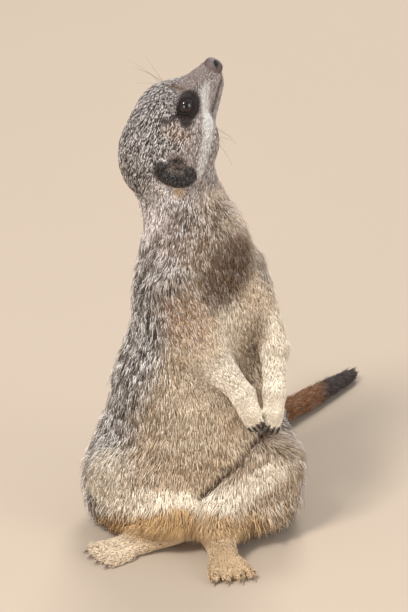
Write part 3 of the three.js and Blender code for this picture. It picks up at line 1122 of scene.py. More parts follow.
HIDE = Finish("hide", "hide", roughness=0.85, mottle_scale=900, mottle=0.8, bump=0.6)
FUR = Finish("fur", "coat", roughness=0.62, specular=0.28, mottle_scale=700, mottle=0.25)
NOSE_SKIN = Finish("nose_skin", "pad", roughness=0.48, specular=0.4, mottle_scale=1800, mottle=0.5, bump=0.8)
HORN = Finish("horn", "horn", roughness=0.32, specular=0.5, mottle_scale=600, mottle=0.25)
EYE = Finish("eye", "iris", roughness=0.05, specular=0.5, mottle_scale=1600, mottle=0.35)
HAIR = Finish("whisker", None, (60, 50, 45), 0.5, 0.3, mottle_scale=300, mottle=0.2)
FLOOR = Finish("floor", None, (176, 160, 142), 0.9, 0.2, mottle_scale=3, mottle=0.04)


def dressed(obj: bpy.types.Object, material: bpy.types.Material, nodes: Iterable[str]) -> None:
    """Gives a finished piece its material, hangs it under the root and hides the solids that it stands for.

    Args:
        obj: the piece.
        material: its material.
        nodes: the names of the solids, or none for an added piece.
    """
    obj.data.materials.clear()
    obj.data.materials.append(material)
    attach(obj, "root")
    names = list(nodes)
    if names:
        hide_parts(*names)
    LOG.info("%s: %d faces", obj.name, len(obj.data.polygons))


# ---- skin ----


@dataclass
class Hide:
    """The finished skin as arrays: what the coat is planted on."""

    corners: Array
    normals: Array
    faces: Array
    lie: Array
    growth: dict[str, Array]
    shares: dict[Region, Array]


@dataclass
class Skin:
    """One closed skin from nose to tail, as deep under the solids as the coat is thick.

    The lids are between two reaches over the eyeball, and the opening is sunk under its surface.
    """

    head: HeadShape
    coatmap: Coatmap
    fusing: float = 0.35
    coarse: float = 1.5
    fine: float = 1.24
    fused_rounds: int = 14
    seam_rounds: int = 60
    lie_rounds: int = 60
    lid: tuple[float, float] = (0.4, 0.9)
    opening_sunk: float = 0.7
    nodes: list[str] = field(default_factory=list)
    # Each step of refining: how far it reaches, and round which places.
    FINER = ((28, [HEAD.place(0, 27, -4)]), (8.6, list(EYES.values())))

    def __post_init__(self) -> None:
        """Finds the solids of flesh and a way to tell which one is nearest."""
        apart = ("eye", "claw", "nose")
        self.nodes = [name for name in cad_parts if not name.startswith(apart)]
        corners, faces, self._owner = [], [], []
        self.covered = self.nodes + ["nose", "eye_left", "eye_right"]
        for name in self.covered:
            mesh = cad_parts[name].data
            base = len(corners)
            corners.extend(v.co.copy() for v in mesh.vertices)
            faces.extend([base + i for i in polygon.vertices] for polygon in mesh.polygons)
            self._owner += [Region.of_node(name)] * len(mesh.polygons)
        self._solids = BVHTree.FromPolygons(corners, faces)

    def regions(self, corners: Array, edges: Array, rounds: int) -> dict[Region, Array]:
        """How much each vertex belongs to each region, softened over the mesh.

        Args:
            corners: the vertices.
            edges: pairs of vertex numbers.
            rounds: how many times the shares are softened.

        Returns:
            A share for each vertex, by region.
        """
        owners = [self._owner[self._solids.find_nearest(Vector(p))[2]] for p in corners * MM]
        kinds = list(Region)
        hard = np.zeros((len(corners), len(kinds)))
        hard[np.arange(len(corners)), [kinds.index(owner) for owner in owners]] = 1
        soft = relaxed(hard, edges, rounds)
        return {kind: soft[:, i] for i, kind in enumerate(kinds)}

    @staticmethod
    def growth(corners: Array, shares: dict[Region, Array]) -> dict[str, Array]:
        """The coat's sizes, which change along the head, at the eyes and at the hocks.

        Args:
            corners: the vertices.
            shares: how much each belongs to each region.

        Returns:
            Each size by its name, with a value for each vertex.
        """
        names = [size.name for size in fields(Pelage)]
        grown = {n: sum(shares[r] * getattr(PELAGE[r], n) for r in Region) for n in names}
        head, ahead, height = shares[Region.HEAD], HEAD.read(corners)[:, 1], corners[:, 2]
        places = [(head * ramp(8, 40, ahead), MUZZLE_GROWTH), (head * ramp(5, -25, ahead), CROWN_GROWTH)]
        for centre in EYES.values():
            places.append((ramp(11, 6.5, np.linalg.norm(corners - centre, axis=1)), LID_GROWTH))
        for share, changes in places:
            for name, more in changes.items():
                grown[name] = grown[name] * (1 + more * share)
        grown["depth"] = grown["depth"] + UNDER_NOSE * head * ramp(45, 47.5, ahead)
        hock = (shares[Region.FOOT] + shares[Region.SHANK]) * ramp(9, 16, height) * ramp(34, 24, height)
        for name, more in HOCK_GROWTH.items():
            grown[name] = grown[name] + more * hock
        return grown

    def _fused(self) -> bpy.types.Object:
        """The solids grown over the cuts between them, joined and smoothed.

        Returns:
            The body without its fingers and toes.
        """
        bm = bmesh.new()
        for name in self.covered:
            before = len(bm.verts)
            bm.from_mesh(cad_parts[name].data)
            bm.verts.ensure_lookup_table()
            own = bm.verts[before:]
            bmesh.ops.remove_doubles(bm, verts=own, dist=1e-6)
        bm.normal_update()
        for vert in bm.verts:
            vert.co += vert.normal * self.fusing * MM
        body = remeshed(new_object("skin", bm), self.coarse)
        corners, edges = corners_of(body.data), edges_of(body.data)
        shares = self.regions(corners, edges, 20)
        small = sum(shares[r] for r in (Region.HAND, Region.FOOT, Region.HEAD, Region.EAR))
        corners = relaxed(corners, edges, self.fused_rounds, 0.5 * (1 - 0.75 * np.clip(small, 0, 1)))
        move_corners(body.data, corners)
        depth = self.growth(corners, shares)["depth"] + self.fusing - 0.3
        move_corners(body.data, corners - normals_of(body.data) * depth[:, None])
        return body

    @staticmethod
    def _digits() -> bmesh.types.BMesh:
        """The fingers and toes: jointed rods with a pad at each joint.

        Returns:
            A bmesh of overlapping balls along every finger and toe.
        """
        bm = bmesh.new()
        for paw in PAWS:
            for start, end, way in paw.digits():
                knuckle = start - way * paw.radius * 1.6
                stations = [knuckle + (end - knuckle) * t for t in np.linspace(0, 1, 6)]
                swell = (1.0, 1.0, 0.92, 1.0, 0.84, 0.9)
                for station, size in zip(stations, swell):
                    radius = (paw.radius * size - 0.25) * MM
                    spot = Matrix.Translation(Vector(station * MM))
                    bmesh.ops.create_uvsphere(bm, u_segments=12, v_segments=8, radius=radius, matrix=spot)
        return bm

    def _detailed(self, body: bpy.types.Object) -> bpy.types.Object:
        """Joins the digits to the body in a finer mesh, and settles the head on its own field.

        Args:
            body: the fused body, which is used up.

        Returns:
            The whole skin.
        """
        bm = self._digits()
        bm.from_mesh(body.data)
        bpy.data.objects.remove(body)
        skin = remeshed(new_object("skin", bm), self.fine)
        corners, edges = corners_of(skin.data), edges_of(skin.data)
        corners = relaxed(corners, edges, 3)
        shares = self.regions(corners, edges, 8)
        on_head = relaxed(shares[Region.HEAD] + shares[Region.EAR], edges, self.seam_rounds)
        picked = on_head > 0.01
        depth = self.growth(corners, shares)["depth"][picked]
        share = ramp(0.02, 0.7, on_head[picked])[:, None]
        moved = settled(self.head.field(), corners[picked], depth)
        corners[picked] = mixed(corners[picked], moved, share)
        seam = ramp(0, 0.1, on_head) * ramp(0.98, 0.8, on_head)
        corners = relaxed(corners, edges, self.seam_rounds, 0.5 * seam)
        move_corners(skin.data, corners)
        return skin

    @staticmethod
    def _refine(skin: bpy.types.Object) -> None:
        """Makes the mesh finer on the face, and finest round the eyes.

        Args:
            skin: the skin.
        """
        for reach, centres in Skin.FINER:
            with edited(skin.data) as bm:
                near = [
                    edge
                    for edge in bm.edges
                    if any((edge.verts[0].co / MM - Vector(c)).length < reach for c in centres)
                ]
                bmesh.ops.subdivide_edges(bm, edges=near, cuts=1, use_grid_fill=True)
                bmesh.ops.triangulate(bm, faces=[f for f in bm.faces if len(f.verts) > 4])

    def _open_eyes(self, corners: Array) -> Array:
        """Lays lids over each eyeball and opens them over the middle of it.

        Args:
            corners: the skin's vertices.

        Returns:
            The moved vertices.
        """
        for side, centre in EYES.items():
            rel = corners - centre
            dist = np.linalg.norm(rel, axis=1)
            way = rel / np.maximum(dist, 1e-6)[:, None]
            opening, facing = slit(side, corners)
            front = (facing > 0) & (dist < EYE_RADIUS * 2.2)
            lid = np.clip(dist, EYE_RADIUS + self.lid[0], EYE_RADIUS + self.lid[1])
            shaped = mixed(dist, lid, ramp(0.1, 0.5, facing))
            sunk = np.full_like(dist, EYE_RADIUS - self.opening_sunk)
            shaped = mixed(shaped, sunk, ramp(1.07, 0.96, opening))
            corners = np.where(front[:, None], centre + way * shaped[:, None], corners)
        return corners

    def build(self) -> Hide:
        """Makes the skin and dresses it.

        Returns:
            The skin as arrays, for the coat.
        """
        skin = self._detailed(self._fused())
        self._refine(skin)
        corners = corners_of(skin.data)
        face = ramp(12, 26, HEAD.read(corners)[:, 1])
        corners = relaxed(corners, edges_of(skin.data), 2, 0.5 * face)
        move_corners(skin.data, corners)
        press = sum(crease.press(corners) for crease in CREASES)
        corners = corners - normals_of(skin.data) * press[:, None]
        move_corners(skin.data, self._open_eyes(corners))
        with edited(skin.data) as bm:
            bmesh.ops.triangulate(bm, faces=bm.faces)
            bmesh.ops.recalc_face_normals(bm, faces=bm.faces)
        skin.data.shade_smooth()
        hide = self._arrays(skin.data)
        self._dress(skin, hide)
        return hide

    def _arrays(self, mesh: bpy.types.Mesh) -> Hide:
        """Reads the skin and works out the coat's sizes and lie on it.

        Args:
            mesh: the skin's mesh.

        Returns:
            The skin as arrays.
        """
        corners, normals, edges = corners_of(mesh), normals_of(mesh), edges_of(mesh)
        faces = rows_of(mesh.polygons, "vertices", 3, np.int32)
        shares = self.regions(corners, edges, 36)
        lie = sum(shares[region][:, None] * unit(lie_of_coat(region, corners)) for region in Region)
        lie = relaxed(lie, edges, self.lie_rounds)
        lie = unit(lie - normals * (lie * normals).sum(1, keepdims=True))
        return Hide(corners, normals, faces, lie, self.growth(corners, shares), shares)

    def _dress(self, skin: bpy.types.Object, hide: Hide) -> None:
        """Colours the skin: darker under a deep coat, and black along the lids.

        Args:
            skin: the skin.
            hide: the same skin as arrays.
        """
        marks = self.coatmap.at(hide.corners, hide.shares)
        bare = np.clip(hide.shares[Region.HAND] + hide.shares[Region.FOOT], 0, 1)
        short = np.clip(hide.shares[Region.HEAD], 0, 1) * ramp(0, 30, HEAD.read(hide.corners)[:, 1])
        shade = 0.5 + 0.35 * np.maximum(bare, short)
        colours = marks.ground * shade[:, None]
        for side, centre in EYES.items():
            close = ramp(9, 7.5, np.linalg.norm(hide.corners - centre, axis=1))
            rim = ramp(1.4, 1.15, slit(side, hide.corners)[0]) * close
            colours = mixed(colours, Ink.LID_EDGE.light(), rim)
        paint(skin.data, "hide", colours)
        dressed(skin, HIDE.material(), self.nodes)


# ---- coat ----


@dataclass
class Coat:
    """Tufts over the whole skin, in layers that each cover all of it.

    A tuft rises to its bend and droops to its tip. A few longer ones are guard hairs: longer, steeper
    and thinner than the rest. Lengths are in millimetres.
    """

    hide: Hide
    coatmap: Coatmap
    nodes: list[str]
    layers: int = 8
    tufts: int = 30600
    seed: int = SEED
    chart_cells: int = 320
    buried: float = 0.35
    over_floor: float = 0.5
    bend_at: float = 0.45
    bend_follows: float = 0.22
    arch: float = 1.35
    droop: float = 0.95
    guard_share: float = 0.1
    guard_from: float = 4.5
    guard_length: float = 1.3
    guard_lift: float = 1.4
    guard_width: float = 0.65
    black_share: float = 0.38
    pale_share: float = 0.37

    # One tuft: its root, a ring of three at its bend, and its tip; the faces, and their patch in the map.
    RING = np.array([[0, 0], [1, 0], [-1, 0], [0, 0.9], [0, 0]])
    FACES = np.array([[0, 1, 3], [0, 3, 2], [0, 2, 1], [4, 3, 1], [4, 2, 3], [4, 1, 2]])
    PATCH = np.array([[0, -1], [1, 0], [-1, 0], [0, 0.2], [0, 1]]) * 0.42

    def roots(self, rng: np.random.Generator, count: int) -> tuple[Array, Array]:
        """Picks faces and spots on them, as densely as the coat grows there.

        Args:
            rng: the source of chance.
            count: how many tufts there are.

        Returns:
            The three corners of each tuft's face, and how much of each corner goes into its spot.
        """
        hide = self.hide
        a, b, c = (hide.corners[hide.faces[:, i]] for i in range(3))
        area = np.linalg.norm(np.cross(b - a, c - a), axis=1) / 2
        wanted = area * hide.growth["density"][hide.faces].mean(1) * self._bare(a)
        reach = np.cumsum(wanted)
        spots = (np.arange(count) + rng.random(count)) / count * reach[-1]
        face = np.searchsorted(reach, spots).clip(0, len(area) - 1)
        r, s = np.sqrt(rng.random(count)), rng.random(count)
        weights = np.stack([1 - r, r * (1 - s), r * s], axis=1)
        LOG.info("coat: %.0f mm2 of skin, %.2f tufts to the mm2", area.sum(), count / area.sum())
        return hide.faces[face], weights

    @staticmethod
    def _bare(points: Array) -> Array:
        """Where hair grows: not on the nose, in the eyes, or under the seat and the soles.

        Args:
            points: places on the skin.

        Returns:
            0 where it is bare, and 1 where hair grows.
        """
        read = HEAD.read(points)
        grows = ramp(46.6, 45.8, read[:, 1] - 0.2 * (read[:, 2] + 9))
        for side, centre in EYES.items():
            opening, _ = slit(side, points)
            close = np.linalg.norm(points - centre, axis=1) < 8
            grows = grows * np.where(close, ramp(1.12, 1.25, opening), 1)
        return grows * ramp(0.7, 1.6, points[:, 2])

    @staticmethod
    def _leaders(roots: Array, rng: np.random.Generator, each: int = 12) -> Array:
        """Picks some tufts to lead, and finds the nearest of them for every tuft.

        Args:
            roots: where each tuft stands.
            rng: the source of chance.
            each: how many tufts there are to one leader.

        Returns:
            The number of each tuft's leader.
        """
        leaders = rng.permutation(len(roots))[: len(roots) // each]
        tree = KDTree(len(leaders))
        for slot, leader in enumerate(leaders):
            tree.insert(roots[leader], slot)
        tree.balance()
        return leaders[[tree.find(p)[1] for p in roots]]

    def build(self) -> None:
        """Makes every layer and dresses it."""
        rng = np.random.default_rng(self.seed)
        hide, count = self.hide, self.layers * self.tufts
        picked, weights = self.roots(rng, count)

        def read(values: Array) -> Array:
            """Values of the skin's vertices, read at the roots of the tufts."""
            return np.einsum("nk,nk...->n...", weights, values[picked])

        sizes = {name: read(values) for name, values in hide.growth.items()}
        frames = read(hide.corners), unit(read(hide.normals)), unit(read(hide.lie))
        corners, leader = self._shaped(*frames, sizes, rng)
        root = corners[:, 0]
        shares = {region: read(share) for region, share in hide.shares.items()}
        colours = self._colours(root, shares, leader, rng)
        cells = self._charted(root, shares)
        order = rng.permutation(count)
        fur = FUR.material()
        for n, own in enumerate(order.reshape(self.layers, -1)):
            layer = self._layer(f"coat_{n + 1}", corners[own], colours[own], self._own_cells(cells[own]))
            dressed(layer, fur, self.nodes)

    def _shaped(
        self, root: Array, normal: Array, lie: Array, sizes: dict[str, Array], rng: np.random.Generator
    ) -> tuple[Array, Array]:
        """Shapes all the tufts.

        Args:
            root: where each one stands on the skin.
            normal: which way the skin faces there.
            lie: which way the coat lies there.
            sizes: the coat's sizes there.
            rng: the source of chance.

        Returns:
            The five corners of each tuft, and the number of the tuft that it leans to.
        """
        count = len(root)
        turn = sizes["rough"] * rng.normal(size=(count, 3))[:, 0]
        length = sizes["length"] * (0.78 + 0.44 * rng.random(count))
        lift = np.radians(sizes["lift"]) * (0.75 + 0.5 * rng.random(count))
        guard = (rng.random(count) < self.guard_share) & (sizes["length"] > self.guard_from)
        reach = (length * np.where(guard, self.guard_length, 1))[:, None]
        lift = (lift * np.where(guard, self.guard_lift, 1))[:, None]
        drift = lie * np.cos(turn)[:, None] + np.cross(lie, normal) * np.sin(turn)[:, None]
        rise, fall = normal * np.sin(lift), drift * np.cos(lift)
        bend = root + reach * self.bend_at * (fall + rise * self.arch)
        tip = root + reach * (fall + rise * self.droop)
        leader = self._leaders(root, rng)
        lean = sizes["clump"] * (0.5 + 0.5 * rng.random(count))
        tip = tip + (tip[leader] - tip) * lean[:, None]
        bend = bend + (tip - (root + reach * drift)) * self.bend_follows
        for place in (bend, tip):
            place[:, 2] = np.maximum(place[:, 2], self.over_floor)
        root = root - normal * self.buried
        across = unit(np.cross(tip - root, normal))
        raised = unit(np.cross(across, tip - root))
        width = sizes["width"] * (0.8 + 0.4 * rng.random(count)) * np.where(guard, self.guard_width, 1)
        ring = self.RING[None, :, 0, None] * across[:, None] + self.RING[None, :, 1, None] * raised[:, None]
        corners = np.stack([root, bend, bend, bend, tip], axis=1) + ring * width[:, None, None] / 2
        return corners, leader

    def _colours(
        self, root: Array, shares: dict[Region, Array], leader: Array, rng: np.random.Generator
    ) -> Array:
        """Three colours for each tuft: at its root, darkened as painted shade, along it and at its tip.

        Args:
            root: where each tuft stands.
            shares: how much each belongs to each region.
            leader: the number of the tuft that each leans to.
            rng: the source of chance.

        Returns:
            Three colours for each tuft, in linear light.
        """
        marks = self.coatmap.at(root, shares)
        count = len(root)
        shade = rng.random(count)
        shade = 0.6 * shade + 0.4 * shade[leader]
        ground = marks.ground * (0.84 + 0.32 * shade[:, None])
        pick = rng.random(count)
        shared = 0.4 - 0.3 * shares[Region.HEAD] - 0.3 * shares[Region.EAR]
        pick = np.where(rng.random(count) < shared, pick[leader], pick)
        strength = marks.ticked
        dark, pale = Ink.TICK_DARK.light(), Ink.TICK_PALE.light()
        black = ((pick < self.black_share) * strength)[:, None]
        light = ((pick > 1 - self.pale_share) * strength)[:, None]
        along = mixed(mixed(ground, dark, 0.8 * black), pale, 0.78 * light)
        tip = mixed(mixed(ground, dark, 0.97 * black), pale, 0.86 * light)
        tip = mixed(tip, pale, (0.16 * (1 - strength) * rng.random(count))[:, None])
        # Painted shade: the root is the ground colour darkened, as it lies in the shadow of the coat.
        base = ground * (0.5 + 0.25 * (1 - strength))[:, None]
        return np.stack([base, along, tip], axis=1)

    def _charted(self, root: Array, shares: dict[Region, Array]) -> Array:
        """Where each tuft's patch goes on an unwrap of the skin, a band for each part of the body.

        Args:
            root: where each tuft stands.
            shares: how much each belongs to each region.

        Returns:
            A spot in the unit square for each tuft.
        """
        bands = (
            (("HEAD", "EAR"), HEAD.place(0, -30, -4), HEAD.place(0, 50, -9), 0.0, 0.22),
            (("NECK", "CHEST"), vec(-8, 3, 212), vec(0, 3, 118), 0.22, 0.44),
            (("BELLY", "RUMP"), vec(0, 5, 126), vec(0, 12, 0), 0.44, 0.66),
            (("UPPER_ARM", "FOREARM", "HAND"), vec(12, -10, 175), vec(36, -38, 72), 0.66, 0.77),
            (("THIGH", "SHANK"), vec(0, 10, 75), vec(0, -20, 0), 0.77, 0.89),
            (("TAIL",), vec(0, 40, 16), vec(101, 213, 5), 0.89, 0.95),
            (("FOOT",), vec(0, 0, 5), vec(0, -75, 5), 0.95, 1.0),
        )
        weight = np.stack([sum(shares[Region[name]] for name in band[0]) for band in bands], axis=1)
        own = weight.argmax(1)
        spots = np.zeros((len(root), 2))
        for n, (_, start, end, low, high) in enumerate(bands):
            mine = own == n
            axis = unit(end - start)
            off = root[mine] - start
            along = np.clip(off @ axis / np.linalg.norm(end - start), 0.001, 0.999)
            first = unit(np.cross(axis, vec(0.3, 1, 0.2)))
            second = np.cross(axis, first)
            around = np.arctan2(off @ first, off @ second) / (2 * math.pi) + 0.5
            spots[mine] = np.stack([around, low + (high - low) * along], axis=1)
        return spots

    def _own_cells(self, spots: Array) -> Array:
        """Gives each tuft of one layer a patch of its own, as near its spot as one is free.

        Args:
            spots: where each tuft would like its patch.

        Returns:
            The middle of the patch that each tuft gets.
        """
        side = self.chart_cells
        cell = np.clip((spots * side).astype(int), 0, side - 1)
        taken = np.zeros((side, side), bool)
        final = np.full((len(spots), 2), -1)
        waiting = np.arange(len(spots))
        reach = 14
        steps = sorted(
            ((x, y) for x in range(-reach, reach + 1) for y in range(-reach, reach + 1)),
            key=lambda s: s[0] ** 2 + s[1] ** 2,
        )
        for dx, dy in steps:
            if not len(waiting):
                break
            wish = np.clip(cell[waiting] + (dx, dy), 0, side - 1)
            free = ~taken[wish[:, 0], wish[:, 1]]
            flat = wish[:, 0] * side + wish[:, 1]
            _, first = np.unique(np.where(free, flat, -1 - np.arange(len(flat))), return_index=True)
            wins = first[free[first]]
            taken[wish[wins, 0], wish[wins, 1]] = True
            final[waiting[wins]] = wish[wins]
            waiting = np.delete(waiting, wins)
        final[waiting] = cell[waiting]
        return (final + 0.5) / side

    def _layer(self, name: str, corners: Array, colours: Array, spots: Array) -> bpy.types.Object:
        """Makes one layer with its colours and its map.

        Args:
            name: the layer's name.
            corners: the five corners of each tuft.
            colours: the three colours of each tuft.
            spots: where each tuft's patch is in the map.

        Returns:
            The layer's object.
        """
        count = len(corners)
        faces = (np.arange(count)[:, None, None] * 5 + self.FACES[None]).reshape(-1, 3)
        mesh = bpy.data.meshes.new(name)
        mesh.vertices.add(count * 5)
        mesh.vertices.foreach_set("co", (corners * MM).astype(np.float32).ravel())
        mesh.loops.add(faces.size)
        mesh.loops.foreach_set("vertex_index", faces.astype(np.int32).ravel())
        mesh.polygons.add(len(faces))
        mesh.polygons.foreach_set("loop_start", np.arange(0, faces.size, 3, dtype=np.int32))
        mesh.update(calc_edges=True)
        mesh.polygons.foreach_set("use_smooth", np.ones(len(faces), bool))
        paint(mesh, "coat", colours[:, [0, 1, 1, 1, 2]].reshape(-1, 3))
        placed = spots[:, None, :] + self.PATCH[None] / self.chart_cells
        uv = mesh.uv_layers.new(name="OFBake")
        uv.data.foreach_set("uv", placed.reshape(-1, 2)[faces.ravel()].astype(np.float32).ravel())
        return linked(name, mesh)


# ---- eyes, nose, claws and whiskers ----


def rod(sides: int, rings: int) -> bmesh.types.BMesh:
    """A closed upright rod of radius one, with a ring of vertices at each height from 0 up.

    Args:
        sides: how many sides it has.
        rings: how high it is, which is also how many lengths it has.

    Returns:
        The rod.
    """
    bm = bmesh.new()
    bmesh.ops.create_circle(bm, cap_ends=True, segments=sides, radius=1)
    bm.faces.ensure_lookup_table()
    cap = bmesh.ops.extrude_face_region(bm, geom=[bm.faces[0]], use_keep_orig=True)["geom"]
    raised = [part for part in cap if isinstance(part, bmesh.types.BMVert)]
    bmesh.ops.translate(bm, verts=raised, vec=(0, 0, rings))
    uprights = [edge for edge in bm.edges if abs(edge.verts[0].co.z - edge.verts[1].co.z) > 1]
    bmesh.ops.subdivide_edges(bm, edges=uprights, cuts=rings - 1, use_grid_fill=True)
    return bm


@dataclass(frozen=True)
class Eyeball:
    """A dark, wet eye with a slight cornea, a brown iris and a wide pupil."""

    name: str
    bulge: float = 0.35
    pupil: Triple = (7, 5, 5)
    iris: Triple = (34, 21, 16)
    edge: Triple = (12, 8, 7)
    pupil_wide: float = 1.35

    def build(self) -> None:
        """Makes the eyeball and dresses it."""
        side = SIDES[self.name]
        centre = EYES[side]
        out = unit(HEAD.axes[0] * side + HEAD.axes[1] * 0.3 + HEAD.axes[2] * 0.12)
        bm = bmesh.new()
        bmesh.ops.create_icosphere(bm, subdivisions=5, radius=EYE_RADIUS * MM)
        obj = new_object(f"eyeball_{self.name}", bm)
        way = unit(corners_of(obj.data))
        angle = np.degrees(np.arccos(np.clip(way @ out, -1, 1)))
        swell = self.bulge * ramp(48, 20, angle)
        move_corners(obj.data, centre + way * (EYE_RADIUS + swell)[:, None])
        level = unit(HEAD.axes[1] - out * (HEAD.axes[1] @ out))
        off = np.hypot((way @ level) / self.pupil_wide, way @ np.cross(level, out))
        colours = mixed(ink(*self.pupil), ink(*self.iris), ramp(0.24, 0.3, off))
        colours = mixed(colours, ink(*self.edge), ramp(0.58, 0.7, off))
        paint(obj.data, "iris", colours)
        obj.data.shade_smooth()
        dressed(obj, EYE.material(), [f"eye_{self.name}"])


@dataclass(frozen=True)
class Nose:
    """The bare nose pad, with a nostril on each side and a cleft between them."""

    radii: Triple = (4.0, 6.0, 5.2)
    front: float = 51.0
    tilt: float = 0.12
    nostril: Triple = (1.5, 2.2, 1.1)
    nostril_aside: float = 3.3
    leather: Triple = (84, 70, 65)
    # The colour painted into the nostrils, their slots and the cleft as their shade.
    inside: Triple = (16, 12, 11)
    rounds: int = 40

    def build(self) -> None:
        """Makes the nose and dresses it."""
        place, axes = HEAD.place, HEAD.axes
        front = place(0, self.front, -8.6)
        facing = unit(axes[1] - self.tilt * axes[2])
        pad = blend(1.5, *(mass(place(s * 1.2, 46.0, -8.8), vec(*self.radii), axes) for s in (-1, 1)))
        shape = carve(2.2, pad, lambda p: -((p - front) @ facing))
        aside = self.nostril_aside
        wells = [mass(place(s * aside, 50.3, -8.7), vec(*self.nostril), axes) for s in (-1, 1)]
        slots = [limb(place(s * 3.6, 50.3, -9.0), place(s * 5.6, 47.8, -9.8), 0.8, 0.5) for s in (-1, 1)]
        cleft = limb(place(0, 51.6, -9.5), place(0, 50.6, -15), 0.5, 0.5)
        dents = blend(0.5, *wells, *slots, cleft)
        dented = carve(0.7, shape, dents)
        bm = bmesh.new()
        bmesh.ops.create_icosphere(bm, subdivisions=6, radius=1)
        obj = new_object("nose_pad", bm)
        way, centre = unit(corners_of(obj.data)), place(0, 46.4, -9.0)
        reach = np.zeros(len(way))
        for _ in range(self.rounds):
            reach = reach + np.clip(-dented(centre + way * reach[:, None]), 0, 0.6)
        corners = centre + way * reach[:, None]
        move_corners(obj.data, corners)
        # Painted shade: the pad is darkened towards the inside colour in and near the dents.
        dim = ramp(0.9, -0.1, dents(corners))
        paint(obj.data, "pad", mixed(np.tile(ink(*self.leather), (len(way), 1)), ink(*self.inside), dim))
        obj.data.shade_smooth()
        dressed(obj, NOSE_SKIN.material(), ["nose"])


@dataclass(frozen=True)
class Claw:
    """A smooth horn cone bent towards the palm."""

    paw: Paw
    number: int
    horn: bpy.types.Material
    rooted: float = 2.5
    sides: int = 12
    rings: int = 14
    # The colours at the root and along a claw of each kind, and at the tip of both.
    HIND = ((150, 124, 100), (96, 80, 68))
    FORE = ((66, 60, 62), (34, 31, 33))
    TIP = (160, 148, 138)

    def build(self) -> None:
        """Makes the claw and dresses it, paler on a hind foot, where the palm faces the floor."""
        paw = self.paw
        _, end, way = paw.digits()[self.number - 1]
        side = unit(np.cross(way, paw.palm))
        down = np.cross(side, way)
        start = end + way * (paw.radius * 0.8 - self.rooted)
        reach = paw.claw_length / math.radians(paw.claw_bend)
        bm = rod(self.sides, self.rings)
        bm.verts.index_update()
        shades = {}
        for vert in bm.verts:
            t = vert.co.z / self.rings
            girth = paw.claw_radius * (1 - 0.86 * t**1.4)
            turn = math.radians(paw.claw_bend) * t
            x, z = vert.co.x * girth * 0.85, vert.co.y * girth * 1.15
            place = start + side * x + way * (reach - z) * math.sin(turn)
            place = place + down * (reach - (reach - z) * math.cos(turn))
            vert.co = Vector(place * MM)
            shades[vert.index] = t
        bmesh.ops.recalc_face_normals(bm, faces=bm.faces)
        along = np.array([shades[v.index] for v in bm.verts])
        obj = new_object(f"horn_{paw.host}_{self.number}", bm)
        root, body = self.HIND if paw.palm[2] < -0.9 else self.FORE
        colours = mixed(np.tile(ink(*root), (len(along), 1)), ink(*body), ramp(0.05, 0.4, along))
        paint(obj.data, "horn", mixed(colours, ink(*self.TIP), 0.7 * ramp(0.72, 1.0, along)))
        obj.data.shade_smooth()
        dressed(obj, self.horn, [f"claw_{paw.host}_{self.number}"])


@dataclass(frozen=True)
class WhiskerBed:
    """Whiskers that grow together, on both sides of the head: where, which way and how long."""

    count: int
    centre: Triple
    scatter: Triple
    way: Triple
    length: float
    stray: float


@dataclass(frozen=True)
class Whiskers:
    """Long single hairs: over the eyes, on the muzzle and under the chin."""

    shape: Field
    width: float = 0.17
    tapers: float = 0.75
    steps: int = 7
    BEDS = (
        WhiskerBed(5, (9, 26, 10), (2, 5, 1.2), (0.5, 0.12, 1.0), 21, 0.25),
        WhiskerBed(7, (6.5, 38, -9), (1, 4, 2.5), (0.9, -0.5, -0.35), 14, 0.3),
        WhiskerBed(3, (6, 10, -25), (3, 9, 0.6), (0.3, -0.2, -1.0), 16, 0.3),
    )

    def paths(self) -> list[list[Array]]:
        """The course of each whisker.

        Returns:
            The points along each, from under the skin to the tip.
        """
        rng = np.random.default_rng(SEED + 1)
        found = []
        for bed in self.BEDS:
            for side in (-1, 1):
                for _ in range(bed.count):
                    guess = HEAD.place(*(vec(*bed.centre) + vec(*bed.scatter) * rng.uniform(-1, 1, 3)))
                    root = HEAD.read(settled(self.shape, guess[None], np.array([1.0])))[0]
                    aim = unit(vec(*bed.way) + rng.normal(size=3) * bed.stray)
                    bend = rng.normal(size=3) * 0.12 + vec(0, -0.22, 0)
                    reach = bed.length * rng.uniform(0.7, 1.15)
                    line = []
                    for t in np.linspace(-0.12, 1, self.steps):
                        spot = root + (aim * t + bend * t * t) * reach
                        line.append(HEAD.place(side * spot[0], spot[1], spot[2]))
                    found.append(line)
        return found

    def build(self) -> None:
        """Makes all of them as one mesh of thin tapered rods, and dresses it."""
        whole, mesh = bmesh.new(), bpy.data.meshes.new("whiskers")
        for line in self.paths():
            one = rod(3, self.steps - 1)
            ways = unit(np.diff(line, axis=0))
            for vert in one.verts:
                i = round(vert.co.z)
                if i == len(ways):
                    vert.co = Vector(line[i] * MM)
                    continue
                first = unit(np.cross(ways[i], vec(0.2, 0.9, 0.3)))
                second = np.cross(ways[i], first)
                girth = self.width / 2 * (1 - self.tapers * i / len(ways))
                place = line[i] + (first * vert.co.y + second * vert.co.x) * girth
                vert.co = Vector(place * MM)
            bmesh.ops.remove_doubles(one, verts=one.verts, dist=1e-7)
            one.to_mesh(mesh)
            one.free()
            whole.from_mesh(mesh)
        bmesh.ops.recalc_face_normals(whole, faces=whole.faces)
        bpy.data.meshes.remove(mesh)
        hairs = new_object("whiskers", whole)
        hairs.data.shade_smooth()
        dressed(hairs, HAIR.material(), [])


# ---- studio ----


@dataclass(frozen=True)
class Lamp:
    """A square lamp that faces the animal, in metres and watts."""

    name: str
    place: Triple
    size: float
    power: float
    tint: Triple
    aim: Triple = (0, 0, 0.14)

    def build(self) -> None:
        """Hangs the lamp."""
        data = bpy.data.lights.new(self.name, "AREA")
        data.size, data.energy, data.color = self.size, self.power, self.tint
        obj = linked(self.name, data)
        obj.location = self.place
        ahead = Vector(self.aim) - Vector(self.place)
        obj.rotation_euler = ahead.to_track_quat("-Z", "Y").to_euler()


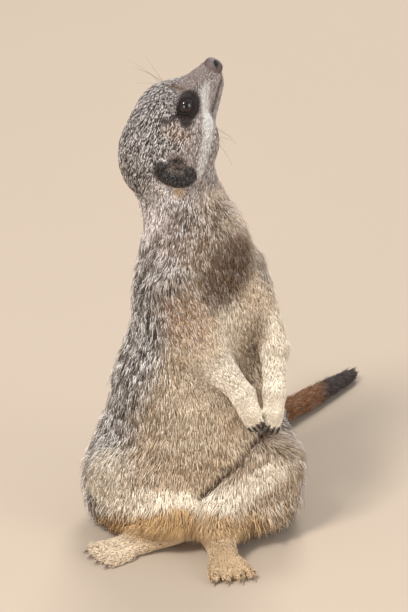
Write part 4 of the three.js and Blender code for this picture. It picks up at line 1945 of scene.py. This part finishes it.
WARM, COOL = (1.0, 0.98, 0.95), (0.96, 0.98, 1.0)
LAMPS = (
    Lamp("key", (-0.8, -1.1, 1.8), 0.45, 46, WARM),
    Lamp("fill", (1.6, -1.2, 0.7), 1.2, 20, COOL),
    Lamp("low", (-0.5, -1.9, 0.35), 0.9, 14, WARM),
    Lamp("rim", (0.3, 1.5, 1.7), 0.8, 30, (1.0, 0.98, 0.96)),
)


@dataclass(frozen=True)
class Studio:
    """Camera, floor and soft lights."""

    target: Triple = (0.005, 0.0, 0.1342)
    distance: float = 2.2
    elevation: float = 22
    lens: float = 232.9

    def camera(self) -> None:
        """Sets the camera on its stand in front of the animal."""
        data = bpy.data.cameras.new("camera")
        data.lens, data.sensor_width = self.lens, 36
        data.clip_start, data.clip_end = 0.1, 20
        rise = math.radians(self.elevation)
        obj = linked("camera", data)
        away = Vector((0, -math.cos(rise), math.sin(rise)))
        obj.location = Vector(self.target) + away * self.distance
        obj.rotation_euler = (math.pi / 2 - rise, 0, 0)
        bpy.context.scene.camera = obj

    @staticmethod
    def floor() -> None:
        """Lays a wide plain floor."""
        bm = bmesh.new()
        bmesh.ops.create_grid(bm, x_segments=2, y_segments=2, size=15)
        obj = new_object("floor", bm)
        obj.data.materials.append(FLOOR.material())

    def build(self) -> None:
        """Sets up the whole studio."""
        self.camera()
        self.floor()
        for lamp in LAMPS:
            lamp.build()
        world = bpy.data.worlds.new("studio")
        world.use_nodes = True
        sky = world.node_tree.nodes["Background"].inputs
        sky["Color"].default_value, sky["Strength"].default_value = (0.9, 0.93, 1.0, 1), 0.6
        bpy.context.scene.world = world
        bpy.context.scene.view_settings.view_transform = "Standard"


# ---- the whole animal ----


def main() -> None:
    """Builds the studio and every piece of the animal."""
    logging.basicConfig(level=logging.INFO, format="%(name)s: %(message)s")
    Studio().build()
    ears = EarShape()
    head, coatmap = HeadShape(ears), Coatmap(ears)
    skin = Skin(head, coatmap)
    hide = skin.build()
    Coat(hide, coatmap, skin.nodes).build()
    for name in SIDES:
        Eyeball(name).build()
    Nose().build()
    horn = HORN.material()
    for paw in PAWS:
        for number in range(1, 5):
            Claw(paw, number, horn).build()
    Whiskers(head.field()).build()


if __name__ == "__main__":
    main()
